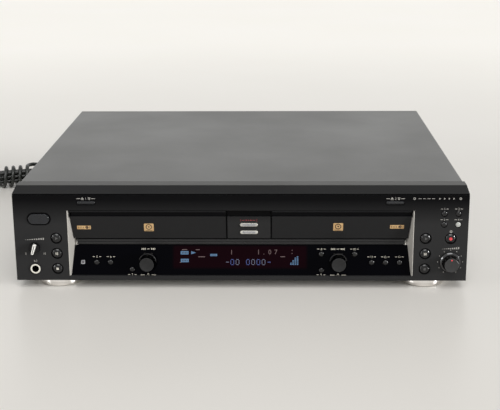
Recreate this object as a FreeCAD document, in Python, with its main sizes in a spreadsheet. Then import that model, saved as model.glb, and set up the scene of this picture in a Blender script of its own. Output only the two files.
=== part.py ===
import FreeCAD, Part
import Sketcher
import math
import os

# A two-tray disc recorder for a hi-fi rack, as an assembly of its separate pieces.
# Millimetres. X runs from left to right as one faces the recorder, Y from front to back, Z up from the table.
# Inside the case, depth is counted from the face of the front panel, and height from the case's underside.

doc = FreeCAD.newDocument("DiscRecorder")
Vector = FreeCAD.Vector

# Driving sizes, one row each: the name of the size and its value
SIZES = {
    # Case
    "case_depth": 388.0,
    "panel_end_width": 51.0,
    "top_band": 15.9,
    "bevel_rise": 4.0,
    "panel_depth": 33.0,
    "panel_wall": 2.5,
    "bevel_depth": 20.0,
    "groove_height": 1.0,
    "groove_deep": 1.2,
    "lip_depth": 10.0,
    "cover_step": 1.0,
    "sheet_steel": 1.0,
    "fold_radius": 2.0,
    "seam_gap": 0.4,
    "seat_gap": 0.3,
    "flange_rise": 19.0,
    "tab_width": 12.0,
    "tab_drop": 9.0,
    "tab_inner_place": 64.0,
    "tab_outer_inset": 25.5,
    "side_screw_height": 14.0,
    "side_screw_front": 95.0,
    "side_screw_rear_inset": 58.0,
    "screw_head_radius": 3.4,
    "screw_head_rise": 1.0,
    "screw_shank_radius": 1.5,
    "screw_shank_length": 6.0,
    "screw_clearance": 0.15,
    # Feet
    "foot_height": 9.0,
    "foot_radius": 21.5,
    "foot_bevel": 1.2,
    "foot_pad_radius": 17.0,
    "foot_pad_rise": 0.8,
    "foot_inset": 38.0,
    "foot_front_depth": 28.5,
    "foot_rear_inset": 43.0,
    # Recess of the front panel, with the side trims, the rail and the centre block
    "recess_half": 164.0,
    "recess_low": 4.3,
    "recess_wall": 2.0,
    "bulkhead_depth": 16.0,
    "bulkhead_wall": 2.0,
    "rail_front_depth": 12.0,
    "rail_front_height": 32.1,
    "rail_top_height": 35.8,
    "trim_slope": 0.31,
    "trim_edge": 0.5,
    "trim_nib": 2.4,
    "block_left": -12.3,
    "block_right": 28.7,
    # Tray doors
    "door_gap": 0.8,
    "door_low_height": 39.2,
    "door_low_depth": 9.4,
    "door_back_depth": 12.5,
    "door_face_height": 23.4,
    "door_face_drop": 6.1,
    "door_face_depth": 3.0,
    "door_band_depth": 4.8,
    "door_band_lip": 0.7,
    "door_rim_depth": 1.0,
    "door_rim_height": 1.0,
    "door_hollow_wall": 2.0,
    # Display window
    "window_low_depth": 2.4,
    "window_high_depth": 11.5,
    "window_wall": 2.6,
    # Trays
    "left_tray_shift": 0.95,
    "right_tray_shift": -2.75,
    "disc_depth": 80.0,
    "disc_radius": 60.0,
    "disc_clearance": 0.7,
    "small_disc_radius": 40.0,
    "tray_wall": 1.8,
    "tray_bottom_height": 49.5,
    "tray_floor": 3.0,
    "tray_rim": 3.0,
    "tray_step": 0.8,
    "tray_rear_depth": 195.0,
    "tray_flange": 1.8,
    "tray_flange_height": 2.0,
    "tray_slot_half": 18.0,
    "tray_running_gap": 0.4,
    "aperture_gap": 0.9,
    # Deck frames
    "deck_front_depth": 36.0,
    "deck_rear_gap": 9.0,
    "deck_wall": 2.0,
    "deck_side_wall": 2.6,
    "deck_height": 19.0,
    "deck_top_rise": 1.5,
    "deck_floor": 2.0,
    "deck_opening_inset": 7.0,
    "deck_post_radius": 5.0,
    "bridge_half": 22.0,
    "bridge_wall": 2.5,
    "bridge_rise": 9.5,
    # Clampers
    "clamper_radius": 17.0,
    "clamper_wall": 2.5,
    "clamper_neck_radius": 12.0,
    "clamper_neck_gap": 1.0,
    "clamper_drop": 0.6,
    "clamper_flange_wall": 1.5,
    "clamper_bore_radius": 8.5,
    # Pickup chassis, drawn level about its rear pivot
    "pivot_depth": 186.0,
    "pivot_drop": 8.5,
    "pivot_radius": 2.0,
    "pivot_clearance": 0.08,
    "lift_angle": 5.0,
    "chassis_half": 54.0,
    "chassis_reach": 130.0,
    "chassis_tail": 6.0,
    "chassis_under": 4.0,
    "chassis_over": 3.0,
    "chassis_window_half": 29.0,
    "chassis_window_near": 27.0,
    "chassis_window_far": 97.0,
    "motor_radius": 12.0,
    "motor_height": 10.0,
    "boss_radius": 6.0,
    "boss_rise": 7.9,
    "rod_radius": 1.5,
    "rod_place": 24.0,
    # Turntables
    "turntable_radius": 15.0,
    "turntable_wall": 2.0,
    "turntable_seat": 13.2,
    "cone_radius": 7.3,
    "cone_tip_radius": 6.0,
    "cone_rise": 3.0,
    "shaft_radius": 1.0,
    "shaft_length": 12.0,
    "shaft_clearance": 0.05,
    # Pickups
    "pickup_inner_radius": 23.0,
    "pickup_front": 10.5,
    "pickup_rear": 18.0,
    "pickup_half": 27.0,
    "pickup_under": 5.0,
    "pickup_over": 4.0,
    "pickup_waist": 20.0,
    "turret_radius": 6.0,
    "turret_rise": 10.5,
    "lens_radius": 3.0,
    "lens_rise": 0.8,
    # Buttons of the front panel
    "button_travel": 0.8,
    "button_clearance": 0.3,
    "button_flange": 1.2,
    "button_flange_wall": 1.0,
    "button_stem_radius": 2.0,
    "button_edge": 0.4,
    "transport_cap_radius": 4.4,
    "transport_ring_radius": 5.6,
    "transport_ring_deep": 1.0,
    "transport_proud": 0.5,
    "transport_gap": 11.3,
    "transport_low_height": 11.6,
    "transport_pitch": 15.2,
    "small_cap_radius": 2.4,
    "small_ring_radius": 3.1,
    "small_ring_deep": 0.5,
    "small_proud": 0.3,
    "small_left_inset": 22.9,
    "small_pitch_across": 13.2,
    "small_low_height": 55.8,
    "small_pitch_up": 10.6,
    "record_cap_radius": 4.6,
    "record_inset": 16.1,
    "record_height": 41.9,
    "power_inset": 24.3,
    "power_height": 61.3,
    "power_length": 20.0,
    "power_thick": 9.8,
    "power_proud": 1.6,
    "eject_inset": 18.5,
    "eject_rise": 7.8,
    "eject_length": 16.8,
    "eject_thick": 2.6,
    "eject_proud": 0.6,
    # Sync buttons of the centre block
    "sync_low_rise": 6.8,
    "sync_pitch": 8.1,
    "sync_length": 17.0,
    "sync_thick": 3.4,
    "sync_proud": 1.0,
    # Buttons of the display window
    "key_cap_radius": 2.4,
    "key_proud": 1.6,
    "key_row_height": 16.1,
    "key_pitch": 13.3,
    "key_left_inset": 25.7,
    "key_right_inset": 12.0,
    "album_place": -104.1,
    "album_height": 9.6,
    "menu_place": 77.4,
    "menu_height": 23.7,
    "clear_height": 8.9,
    "yes_place": 109.1,
    # Jog knobs
    "jog_left_place": -88.8,
    "jog_right_place": 93.3,
    "jog_height": 18.2,
    "jog_collar_radius": 8.6,
    "jog_collar_wall": 2.0,
    "jog_root_radius": 7.8,
    "jog_front_radius": 6.9,
    "jog_length": 11.2,
    "jog_edge": 0.7,
    "jog_gap": 1.2,
    "jog_shaft_radius": 3.0,
    "jog_shaft_clearance": 0.06,
    "jog_bore_wall": 3.0,
    "jog_travel": 0.7,
    "jog_flange_radius": 5.0,
    # Turning knobs of the front panel
    "phone_knob_inset": 18.9,
    "phone_knob_height": 33.0,
    "phone_knob_radius": 5.2,
    "phone_knob_proud": 4.5,
    "phone_bar_rise": 3.5,
    "phone_bar_half": 1.3,
    "phone_bar_reach": 4.9,
    "phone_rest_turn": 36.0,
    "record_knob_inset": 15.8,
    "record_knob_height": 18.9,
    "record_knob_radius": 9.9,
    "record_knob_front_radius": 8.0,
    "record_knob_proud": 11.1,
    "record_knob_edge": 0.8,
    "knob_gap": 0.6,
    "knob_shaft_radius": 3.0,
    # Headphone socket
    "jack_inset": 18.6,
    "jack_height": 11.8,
    "jack_ring_radius": 5.1,
    "jack_ring_proud": 1.2,
    "jack_neck_radius": 4.5,
    "jack_bore_radius": 3.25,
    "jack_body_half": 6.0,
    "jack_body_depth": 30.0,
    # Boards
    "board_wall": 1.6,
    "front_board_depth": 22.0,
    "front_board_side_gap": 2.5,
    "front_board_low": 2.5,
    "front_board_high": 33.0,
    "front_board_arm_gap": 3.5,
    "front_board_top_gap": 9.4,
    "front_board_boss_radius": 3.0,
    "front_board_boss_inset": 30.5,
    "front_board_boss_drop": 6.0,
    "front_board_boss_low": 4.8,
    "board_cut_gap": 0.6,
    "tube_half": 65.0,
    "tube_low": 9.0,
    "tube_high": 31.0,
    "tube_depth": 16.6,
    "main_board_length": 260.0,
    "main_board_side_gap": 12.7,
    "main_board_gap": 18.0,
    "main_board_rear_inset": 20.0,
    "main_board_height": 7.0,
    "main_board_post_radius": 3.5,
    "main_board_post_inset": 8.0,
    "capacitor_radius": 9.0,
    "capacitor_height": 28.0,
    "capacitor_gap": 4.0,
    "heat_sink_inset": 14.0,
    "heat_sink_length": 60.0,
    "heat_sink_depth": 12.0,
    "heat_sink_height": 40.0,
    "heat_sink_fin": 2.0,
    # Power transformer
    "core_inset": 16.7,
    "core_width": 74.0,
    "core_gap": 58.0,
    "core_depth": 44.0,
    "core_height": 60.0,
    "coil_bulge": 9.0,
    "coil_inset": 12.0,
    "coil_thick": 36.0,
    "coil_round": 6.0,
    "ear_reach": 9.0,
    "ear_half": 12.0,
    "ear_wall": 2.0,
    # Rear sockets
    "socket_reach": 9.0,
    "socket_radius": 4.15,
    "socket_bore_radius": 1.6,
    "socket_bore_deep": 8.0,
    "socket_ring_radius": 5.4,
    "socket_pitch": 14.0,
    "socket_inset": 112.0,
    "socket_low_height": 46.0,
    "socket_block_depth": 13.0,
    "socket_block_edge": 9.0,
    "optical_lead": 64.0,
    "optical_pitch": 15.0,
    "optical_half": 5.0,
    "optical_reach": 1.5,
    # Mains cord, its strain relief, hank and plug
    "cord_diameter": 4.8,
    "bush_place": -105.0,
    "bush_height": 15.0,
    "bush_neck_radius": 4.6,
    "bush_lip_radius": 5.4,
    "bush_lip_wall": 3.0,
    "bush_flange_radius": 7.0,
    "bush_flange_wall": 1.5,
    "bush_root_radius": 5.6,
    "bush_tip_radius": 3.4,
    "bush_length": 28.0,
    "bush_hole_clearance": 0.05,
    "lead_end_run": 14.0,
    "hank_place": -303.0,
    "hank_depth": 385.0,
    "hank_turn": 18.0,
    "hank_half": 78.0,
    "hank_fold_radius": 14.6,
    "hank_neck_half": 15.0,
    "hank_pitch": 5.5,
    "hank_entry": 88.0,
    "wrap_radius": 11.5,
    "wrap_pitch": 9.0,
    "tail_side": 26.0,
    "tail_run": 32.0,
    "plug_sleeve_length": 14.0,
    "plug_sleeve_radius": 3.4,
    "plug_sleeve_root_radius": 5.0,
    "plug_body_length": 30.0,
    "plug_body_half": 11.0,
    "plug_rear_half": 7.5,
    "plug_thick": 15.0,
    "plug_edge": 2.5,
    "plug_blade_length": 16.0,
    "plug_blade_half": 3.2,
    "plug_blade_wall": 1.5,
    "plug_blade_pitch": 12.7,
}

sheet = doc.addObject("Spreadsheet::Sheet", "Sizes")
for row, (name, number) in enumerate(SIZES.items(), start=1):
    sheet.set(f"A{row}", name)
    sheet.set(f"B{row}", str(number))
    sheet.setAlias(f"B{row}", name)
doc.recompute()


# A size carries its number and the sheet expression behind it, so that sums of sizes stay bound to the sheet
class Size:
    def __init__(self, number, text):
        self.number = float(number)
        self.text = text

    def __add__(self, other):
        other = as_size(other)
        return Size(self.number + other.number, f"({self.text} + {other.text})")

    def __sub__(self, other):
        other = as_size(other)
        return Size(self.number - other.number, f"({self.text} - {other.text})")

    def __mul__(self, other):
        other = as_size(other)
        return Size(self.number * other.number, f"({self.text} * {other.text})")

    def __truediv__(self, other):
        other = as_size(other)
        return Size(self.number / other.number, f"({self.text} / {other.text})")

    def __rsub__(self, other):
        return as_size(other) - self

    def __neg__(self):
        return Size(-self.number, f"(0 - {self.text})")

    __radd__ = __add__
    __rmul__ = __mul__


def as_size(value):
    return value if isinstance(value, Size) else Size(value, f"({value!r})")


def sine(angle):
    return Size(math.sin(math.radians(angle.number)), f"sin({angle.text} * 1 deg)")


def cosine(angle):
    return Size(math.cos(math.radians(angle.number)), f"cos({angle.text} * 1 deg)")


class SheetSizes:
    def __getattr__(self, name):
        return Size(sheet.get(name), f"Sizes.{name}")


S = SheetSizes()
ZERO = as_size(0)
FULL_TURN = 360.0

# Y of the face plane: the origin lies under the middle of the whole recorder, front knob to rear sockets
FRONT = (S.record_knob_proud - S.case_depth - S.socket_reach) / 2

SUBPARTS = []


# Every sub-part stands in the case's own axes: across, depth behind the face, height above the case bottom
def place(item, across=ZERO, depth=ZERO, height=ZERO):
    item.setExpression("Placement.Base.x", as_size(across).text)
    item.setExpression("Placement.Base.y", (FRONT + depth).text)
    item.setExpression("Placement.Base.z", (S.foot_height + height).text)


# A turn about one axis through the item's own origin
def turn_by(item, axis, angle):
    item.Placement = FreeCAD.Placement(Vector(), FreeCAD.Rotation(axis, angle.number))
    item.setExpression("Placement.Rotation.Angle", angle.text)


def finished(item):
    SUBPARTS.append(item)
    return item


def new_body(label):
    body = doc.addObject("PartDesign::Body", label)
    body.Label = label
    body.AllowCompound = True
    return body


def origin_feature(body, role):
    return next(item for item in body.Origin.OriginFeatures if item.Role == role)


# A sketch on one of the body's origin planes, moved along the plane's own axis to where the piece starts
def new_sketch(body, plane, start):
    sketch = body.newObject("Sketcher::SketchObject", body.Label + "_sketch")
    sketch.AttachmentSupport = [(origin_feature(body, plane), "")]
    sketch.MapMode = "FlatFace"
    offset = -start if plane == "XZ_Plane" else start
    sketch.setExpression("AttachmentOffset.Base.z", as_size(offset).text)
    return sketch


def fix_point(sketch, geometry, end, point):
    across, up = as_size(point[0]), as_size(point[1])
    first = sketch.ConstraintCount
    sketch.addConstraint([
        Sketcher.Constraint("DistanceX", -1, 1, geometry, end, across.number),
        Sketcher.Constraint("DistanceY", -1, 1, geometry, end, up.number),
    ])
    sketch.setExpression(f"Constraints[{first}]", across.text)
    sketch.setExpression(f"Constraints[{first + 1}]", up.text)


def fix_radius(sketch, geometry, radius):
    sketch.addConstraint(Sketcher.Constraint("Radius", geometry, radius.number))
    sketch.setExpression(f"Constraints[{sketch.ConstraintCount - 1}]", radius.text)


# Outlines: each returns a function that draws it, fully dimensioned, into a sketch
def outline(*points):
    def draw(sketch):
        corners = [Vector(as_size(a).number, as_size(b).number, 0) for a, b in points]
        first, count = sketch.GeometryCount, len(points)
        sketch.addGeometry([Part.LineSegment(corners[i], corners[(i + 1) % count]) for i in range(count)])
        sketch.addConstraint([
            Sketcher.Constraint("Coincident", first + i, 2, first + (i + 1) % count, 1) for i in range(count)
        ])
        for i, point in enumerate(points):
            fix_point(sketch, first + i, 1, point)
    return draw


def rectangle(left, right, low, high):
    return outline((left, low), (right, low), (right, high), (left, high))


def circle(across, up, radius):
    def draw(sketch):
        centre = Vector(as_size(across).number, as_size(up).number, 0)
        index = sketch.addGeometry(Part.Circle(centre, Vector(0, 0, 1), radius.number))
        fix_radius(sketch, index, radius)
        fix_point(sketch, index, 3, (across, up))
    return draw


# A bar with two round ends, lying across
def stadium(across, up, length, thick):
    def draw(sketch):
        radius, half = thick / 2, (length - thick) / 2
        across_size, up_size = as_size(across), as_size(up)
        x, y, r, reach = across_size.number, up_size.number, radius.number, half.number
        normal = Vector(0, 0, 1)
        right = Part.Circle(Vector(x + reach, y, 0), normal, r)
        left = Part.Circle(Vector(x - reach, y, 0), normal, r)
        first = sketch.GeometryCount
        sketch.addGeometry([
            Part.ArcOfCircle(right, -math.pi / 2, math.pi / 2),
            Part.LineSegment(Vector(x + reach, y + r, 0), Vector(x - reach, y + r, 0)),
            Part.ArcOfCircle(left, math.pi / 2, 3 * math.pi / 2),
            Part.LineSegment(Vector(x - reach, y - r, 0), Vector(x + reach, y - r, 0)),
        ])
        sketch.addConstraint([
            Sketcher.Constraint("Tangent", first, 2, first + 1, 1),
            Sketcher.Constraint("Tangent", first + 1, 2, first + 2, 1),
            Sketcher.Constraint("Tangent", first + 2, 2, first + 3, 1),
            Sketcher.Constraint("Tangent", first + 3, 2, first, 1),
        ])
        fix_radius(sketch, first, radius)
        fix_point(sketch, first, 3, (across_size + half, up_size))
        fix_point(sketch, first + 2, 3, (across_size - half, up_size))
    return draw


# Material added between two stations along the axis square to the plane
def pad(body, plane, start, end, *shapes):
    start, end = as_size(start), as_size(end)
    sketch = new_sketch(body, plane, start)
    for shape in shapes:
        shape(sketch)
    feature = body.newObject("PartDesign::Pad", body.Label + "_pad")
    feature.Profile = sketch
    feature.setExpression("Length", (end - start).text)
    feature.Reversed = plane == "XZ_Plane"
    feature.Refine = True
    doc.recompute()
    return feature


# Material taken away between two stations; a cut that meets nothing is a mistake in the sizes
def cut(body, plane, start, end, *shapes):
    before = body.Tip.Shape.Volume
    start, end = as_size(start), as_size(end)
    sketch = new_sketch(body, plane, start)
    for shape in shapes:
        shape(sketch)
    feature = body.newObject("PartDesign::Pocket", body.Label + "_cut")
    feature.Profile = sketch
    feature.setExpression("Length", (end - start).text)
    feature.Reversed = plane != "XZ_Plane"
    feature.Refine = True
    doc.recompute()
    if not feature.Shape.Volume < before:
        raise RuntimeError(f"a cut in {body.Label} removes nothing")
    return feature


# A piece turned about the second axis of its plane
def turned(body, plane, *points):
    sketch = new_sketch(body, plane, ZERO)
    outline(*points)(sketch)
    feature = body.newObject("PartDesign::Revolution", body.Label + "_turned")
    feature.Profile = sketch
    feature.ReferenceAxis = (sketch, ["V_Axis"])
    feature.Angle = FULL_TURN
    feature.Refine = True
    doc.recompute()
    return feature


# Edges of the last feature whose middle passes the test, rounded or bevelled
def dress(body, kind, size, test):
    base = body.Tip
    names = [
        f"Edge{i + 1}" for i, edge in enumerate(base.Shape.Edges)
        if test(edge, edge.valueAt((edge.FirstParameter + edge.LastParameter) / 2))
    ]
    feature = body.newObject(f"PartDesign::{kind}", body.Label + "_edges")
    feature.Base = (base, names)
    feature.setExpression("Radius" if kind == "Fillet" else "Size", size.text)
    doc.recompute()
    return feature


def near(value, size):
    return abs(value - as_size(size).number) < 0.01


# Heights of the front, stacked from the doors up, and half widths of the case, from the recess outwards
DOOR_FACE_TOP = S.door_low_height + S.door_face_height
DOOR_TOP = DOOR_FACE_TOP + S.door_face_drop
RECESS_HIGH = DOOR_TOP + S.door_gap
FACE_HEIGHT = RECESS_HIGH + S.top_band
CASE_HEIGHT = FACE_HEIGHT + S.bevel_rise
PANEL_HALF = S.recess_half + S.panel_end_width
COVER_HALF = PANEL_HALF - S.cover_step

# The inner side of the cover, where the sheet-metal pieces end
INNER_HALF = COVER_HALF - S.sheet_steel - S.seat_gap
REAR_FACE = S.case_depth - S.sheet_steel
TAB_OUTER_PLACE = COVER_HALF - S.tab_outer_inset
SIDE_SCREW_REAR = S.case_depth - S.side_screw_rear_inset
FOOT_PLACE = PANEL_HALF - S.foot_inset
FOOT_REAR_DEPTH = S.case_depth - S.foot_rear_inset

RAIL_HALF = S.recess_half - S.trim_edge - S.bulkhead_depth * S.trim_slope - S.trim_nib - S.seat_gap
BULKHEAD_BACK = S.bulkhead_depth + S.bulkhead_wall
LEFT_DECK = (S.block_left - S.recess_half) / 2 + S.left_tray_shift
RIGHT_DECK = (S.block_right + S.recess_half) / 2 + S.right_tray_shift
DECKS = {"left": LEFT_DECK, "right": RIGHT_DECK}

# Tray and deck share these places
RECESS_RADIUS = S.disc_radius + S.disc_clearance
TRAY_HALF = RECESS_RADIUS + S.tray_wall
TRAY_TOP = S.tray_bottom_height + S.tray_floor + S.tray_rim
FLANGE_HALF = TRAY_HALF + S.tray_flange
DECK_INNER_HALF = TRAY_HALF + S.tray_running_gap
GROOVE_HALF = FLANGE_HALF + S.tray_running_gap
DECK_HALF = GROOVE_HALF + S.deck_side_wall
DECK_REAR = S.tray_rear_depth + S.deck_rear_gap
BRIDGE_HEIGHT = S.tray_bottom_height + S.bridge_rise
DECK_TOP = BRIDGE_HEIGHT + S.bridge_wall + S.deck_top_rise
PIVOT_HEIGHT = S.tray_bottom_height - S.pivot_drop

# Places of the buttons, knobs and socket, from the ends of the panel or of the recess
TRANSPORT_PLACE = S.recess_half + S.transport_gap
SMALL_LEFT_PLACE = PANEL_HALF - S.small_left_inset
RECORD_PLACE = PANEL_HALF - S.record_inset
POWER_PLACE = S.power_inset - PANEL_HALF
PHONE_KNOB_PLACE = S.phone_knob_inset - PANEL_HALF
RECORD_KNOB_PLACE = PANEL_HALF - S.record_knob_inset
JACK_PLACE = S.jack_inset - PANEL_HALF
EJECT_PLACE = S.recess_half - S.eject_inset
TIME_LEFT_PLACE = S.key_left_inset - S.recess_half
DISPLAY_PLACE = S.recess_half - S.key_right_inset - S.key_pitch * 2
TRANSPORT_HEIGHTS = {
    "play": S.transport_low_height + S.transport_pitch * 2,
    "pause": S.transport_low_height + S.transport_pitch,
    "stop": S.transport_low_height,
}
SMALL_BUTTONS = {
    "finalize": (SMALL_LEFT_PLACE, S.small_low_height + S.small_pitch_up),
    "erase": (SMALL_LEFT_PLACE + S.small_pitch_across, S.small_low_height + S.small_pitch_up),
    "input": (SMALL_LEFT_PLACE, S.small_low_height),
    "synchro": (SMALL_LEFT_PLACE + S.small_pitch_across, S.small_low_height),
}
KEYS = {
    "time_button_left": (TIME_LEFT_PLACE, S.key_row_height),
    "play_mode_button_left": (TIME_LEFT_PLACE + S.key_pitch, S.key_row_height),
    "album_button": (S.album_place, S.album_height),
    "menu_button": (S.menu_place, S.menu_height),
    "yes_button": (S.yes_place, S.menu_height),
    "clear_button": (S.menu_place, S.clear_height),
    "display_button": (DISPLAY_PLACE, S.key_row_height),
    "time_button_right": (DISPLAY_PLACE + S.key_pitch, S.key_row_height),
    "play_mode_button_right": (DISPLAY_PLACE + S.key_pitch * 2, S.key_row_height),
}
JOGS = {"left": S.jog_left_place, "right": S.jog_right_place}
EJECT_HEIGHT = RECESS_HIGH + S.eject_rise
EJECTS = {"left": -EJECT_PLACE, "right": EJECT_PLACE}
SYNC_PLACE = (S.block_left + S.block_right) / 2
SYNC_LOWER_HEIGHT = S.door_low_height + S.sync_low_rise
SYNC_HEIGHTS = {"upper": SYNC_LOWER_HEIGHT + S.sync_pitch, "lower": SYNC_LOWER_HEIGHT}

# Places inside the case, between its sides, the decks and the rear panel
FRONT_BOARD_TOP = CASE_HEIGHT - S.front_board_top_gap
FRONT_BOSS_PLACE = PANEL_HALF - S.front_board_boss_inset
MAIN_BOARD_RIGHT = INNER_HALF - S.main_board_side_gap
MAIN_BOARD_LEFT = MAIN_BOARD_RIGHT - S.main_board_length
MAIN_BOARD_FRONT = DECK_REAR + S.main_board_gap
MAIN_BOARD_REAR = S.case_depth - S.main_board_rear_inset
HEAT_SINK_LEFT = MAIN_BOARD_LEFT + S.heat_sink_inset
SOCKET_PLACE = MAIN_BOARD_RIGHT - S.socket_inset
OPTICAL_PLACE = SOCKET_PLACE - S.optical_lead

# The leaning faces of the doors and of the window, as depth at a height
DOOR_LEAN = (S.door_low_depth - S.door_face_depth) / (DOOR_FACE_TOP - S.door_low_height)
WINDOW_LOW = S.recess_low + S.seat_gap
WINDOW_HIGH = S.rail_front_height - S.seat_gap
WINDOW_LEAN = (S.window_high_depth - S.window_low_depth) / (WINDOW_HIGH - WINDOW_LOW)


def door_face(height):
    return S.door_low_depth - (height - S.door_low_height) * DOOR_LEAN


def window_face(height):
    return S.window_low_depth + (height - WINDOW_LOW) * WINDOW_LEAN


def trim_face(depth):
    return S.recess_half - S.trim_edge - depth * S.trim_slope


# CASE

# Front panel: a moulded shell with a bevelled top, a recess with the rail and centre block, and button holes
def front_panel():
    body = new_body("front_panel")
    half, wall = PANEL_HALF, S.panel_wall
    inner_half = half - wall
    pad(body, "YZ_Plane", -half, half, outline(
        (ZERO, ZERO),
        (S.panel_depth, ZERO),
        (S.panel_depth, CASE_HEIGHT),
        (S.bevel_depth, CASE_HEIGHT),
        (ZERO, FACE_HEIGHT),
        (S.groove_deep, FACE_HEIGHT),
        (S.groove_deep, FACE_HEIGHT - S.groove_height),
        (ZERO, FACE_HEIGHT - S.groove_height),
    ))
    cut(body, "YZ_Plane", -inner_half, inner_half, outline(
        (wall, wall),
        (S.panel_depth, wall),
        (S.panel_depth, CASE_HEIGHT - wall),
        (S.bevel_depth + S.seat_gap, CASE_HEIGHT - wall),
        (wall, FACE_HEIGHT - wall - S.groove_height),
    ))
    cut(body, "XY_Plane", ZERO, wall, rectangle(-inner_half, inner_half, S.lip_depth, S.panel_depth))
    outer, inner = S.recess_half + S.recess_wall, S.recess_half
    pad(body, "XZ_Plane", wall / 2, BULKHEAD_BACK,
        rectangle(-outer, outer, wall / 2, RECESS_HIGH + S.recess_wall))
    cut(body, "XZ_Plane", ZERO, S.bulkhead_depth, rectangle(-inner, inner, S.recess_low, RECESS_HIGH))
    cut(body, "XZ_Plane", S.bulkhead_depth, BULKHEAD_BACK,
        rectangle(-inner, inner, S.recess_low, S.rail_front_height))
    recess_rail(body)
    centre_block(body)
    tray_apertures(body)
    panel_button_holes(body)
    for side in (-1, 1):
        boss(body, FRONT_BOSS_PLACE * side, FRONT_BOARD_TOP - S.front_board_boss_drop)
        boss(body, FRONT_BOSS_PLACE * side, S.front_board_boss_low)
    place(body)
    return finished(body)


def boss(body, across, height):
    pad(body, "XZ_Plane", S.panel_wall / 2, S.front_board_depth,
        circle(across, height, S.front_board_boss_radius))


# The rail is the sloping ledge under the trays, between the nibs of the trims
def recess_rail(body):
    pad(body, "YZ_Plane", -RAIL_HALF, RAIL_HALF, outline(
        (S.rail_front_depth, S.rail_front_height),
        (BULKHEAD_BACK, S.rail_front_height),
        (BULKHEAD_BACK, S.rail_top_height),
        (S.bulkhead_depth, S.rail_top_height),
    ))


# The centre block leans like the doors beside it, with a wall of its own and a hollow behind
def centre_block(body):
    pad(body, "YZ_Plane", S.block_left, S.block_right, outline(
        (S.door_low_depth, S.door_low_height),
        (S.bulkhead_depth, S.door_low_height),
        (S.bulkhead_depth, RECESS_HIGH),
        (S.door_band_depth, RECESS_HIGH),
        (S.door_band_depth, DOOR_FACE_TOP + S.door_band_lip),
        (S.door_face_depth, DOOR_FACE_TOP),
    ))
    wall = S.panel_wall
    cut(body, "YZ_Plane", S.block_left + wall, S.block_right - wall, outline(
        (door_face(S.door_low_height + wall) + wall, S.door_low_height + wall),
        (BULKHEAD_BACK, S.door_low_height + wall),
        (BULKHEAD_BACK, RECESS_HIGH - wall),
        (S.door_band_depth + wall, RECESS_HIGH - wall),
        (door_face(DOOR_FACE_TOP) + wall, DOOR_FACE_TOP),
    ))


def tray_apertures(body):
    low, high = S.tray_bottom_height - S.aperture_gap, TRAY_TOP + S.aperture_gap
    half = FLANGE_HALF + S.aperture_gap
    cut(body, "XZ_Plane", S.bulkhead_depth, BULKHEAD_BACK,
        *[rectangle(centre - half, centre + half, low, high) for centre in DECKS.values()])


# Round holes have a shallow ring sunk round them; the long buttons fill plain slots
def panel_button_holes(body):
    wall, gap = S.panel_wall, S.button_clearance
    rings, holes = [], []
    for side in (-1, 1):
        for height in TRANSPORT_HEIGHTS.values():
            rings.append((TRANSPORT_PLACE * side, height, S.transport_ring_radius))
            holes.append(circle(TRANSPORT_PLACE * side, height, S.transport_cap_radius + gap))
    rings.append((RECORD_PLACE, S.record_height, S.transport_ring_radius))
    holes.append(circle(RECORD_PLACE, S.record_height, S.record_cap_radius + gap))
    cut(body, "XZ_Plane", ZERO, S.transport_ring_deep, *[circle(*ring) for ring in rings])
    cut(body, "XZ_Plane", ZERO, S.small_ring_deep,
        *[circle(across, height, S.small_ring_radius) for across, height in SMALL_BUTTONS.values()])
    holes += [circle(across, height, S.small_cap_radius + gap) for across, height in SMALL_BUTTONS.values()]
    holes.append(circle(PHONE_KNOB_PLACE, S.phone_knob_height, S.knob_shaft_radius + gap))
    holes.append(circle(RECORD_KNOB_PLACE, S.record_knob_height, S.knob_shaft_radius + gap))
    holes.append(circle(JACK_PLACE, S.jack_height, S.jack_neck_radius + gap))
    holes.append(stadium(POWER_PLACE, S.power_height, S.power_length + gap * 2, S.power_thick + gap * 2))
    for across in EJECTS.values():
        holes.append(stadium(across, EJECT_HEIGHT, S.eject_length + gap * 2, S.eject_thick + gap * 2))
    cut(body, "XZ_Plane", ZERO, wall, *holes)
    for height in SYNC_HEIGHTS.values():
        cut(body, "XZ_Plane", S.door_face_depth, S.bulkhead_depth - S.bulkhead_wall,
            stadium(SYNC_PLACE, height, S.sync_length + gap * 2, S.sync_thick + gap * 2))


# Recess trims: bright wedges along both ends of the recess, with a nib at the rail
def recess_trims():
    body = new_body("recess_trims")
    deep = S.bulkhead_depth - S.seat_gap
    low, high = S.recess_low + S.seat_gap, RECESS_HIGH - S.seat_gap
    for side in (-1, 1):
        pad(body, "XY_Plane", low, high, outline(
            (S.recess_half * side, ZERO),
            (trim_face(ZERO) * side, ZERO),
            (trim_face(deep) * side, deep),
            (S.recess_half * side, deep),
        ))
        inner, outer = RAIL_HALF + S.seat_gap, trim_face(deep) + S.seat_gap
        pad(body, "YZ_Plane", inner if side > 0 else -outer, outer if side > 0 else -inner, outline(
            (S.rail_front_depth, S.rail_front_height),
            (deep, S.rail_front_height),
            (deep, S.rail_top_height),
            (deep - S.seat_gap, S.rail_top_height),
        ))
    place(body)
    return finished(body)


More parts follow.
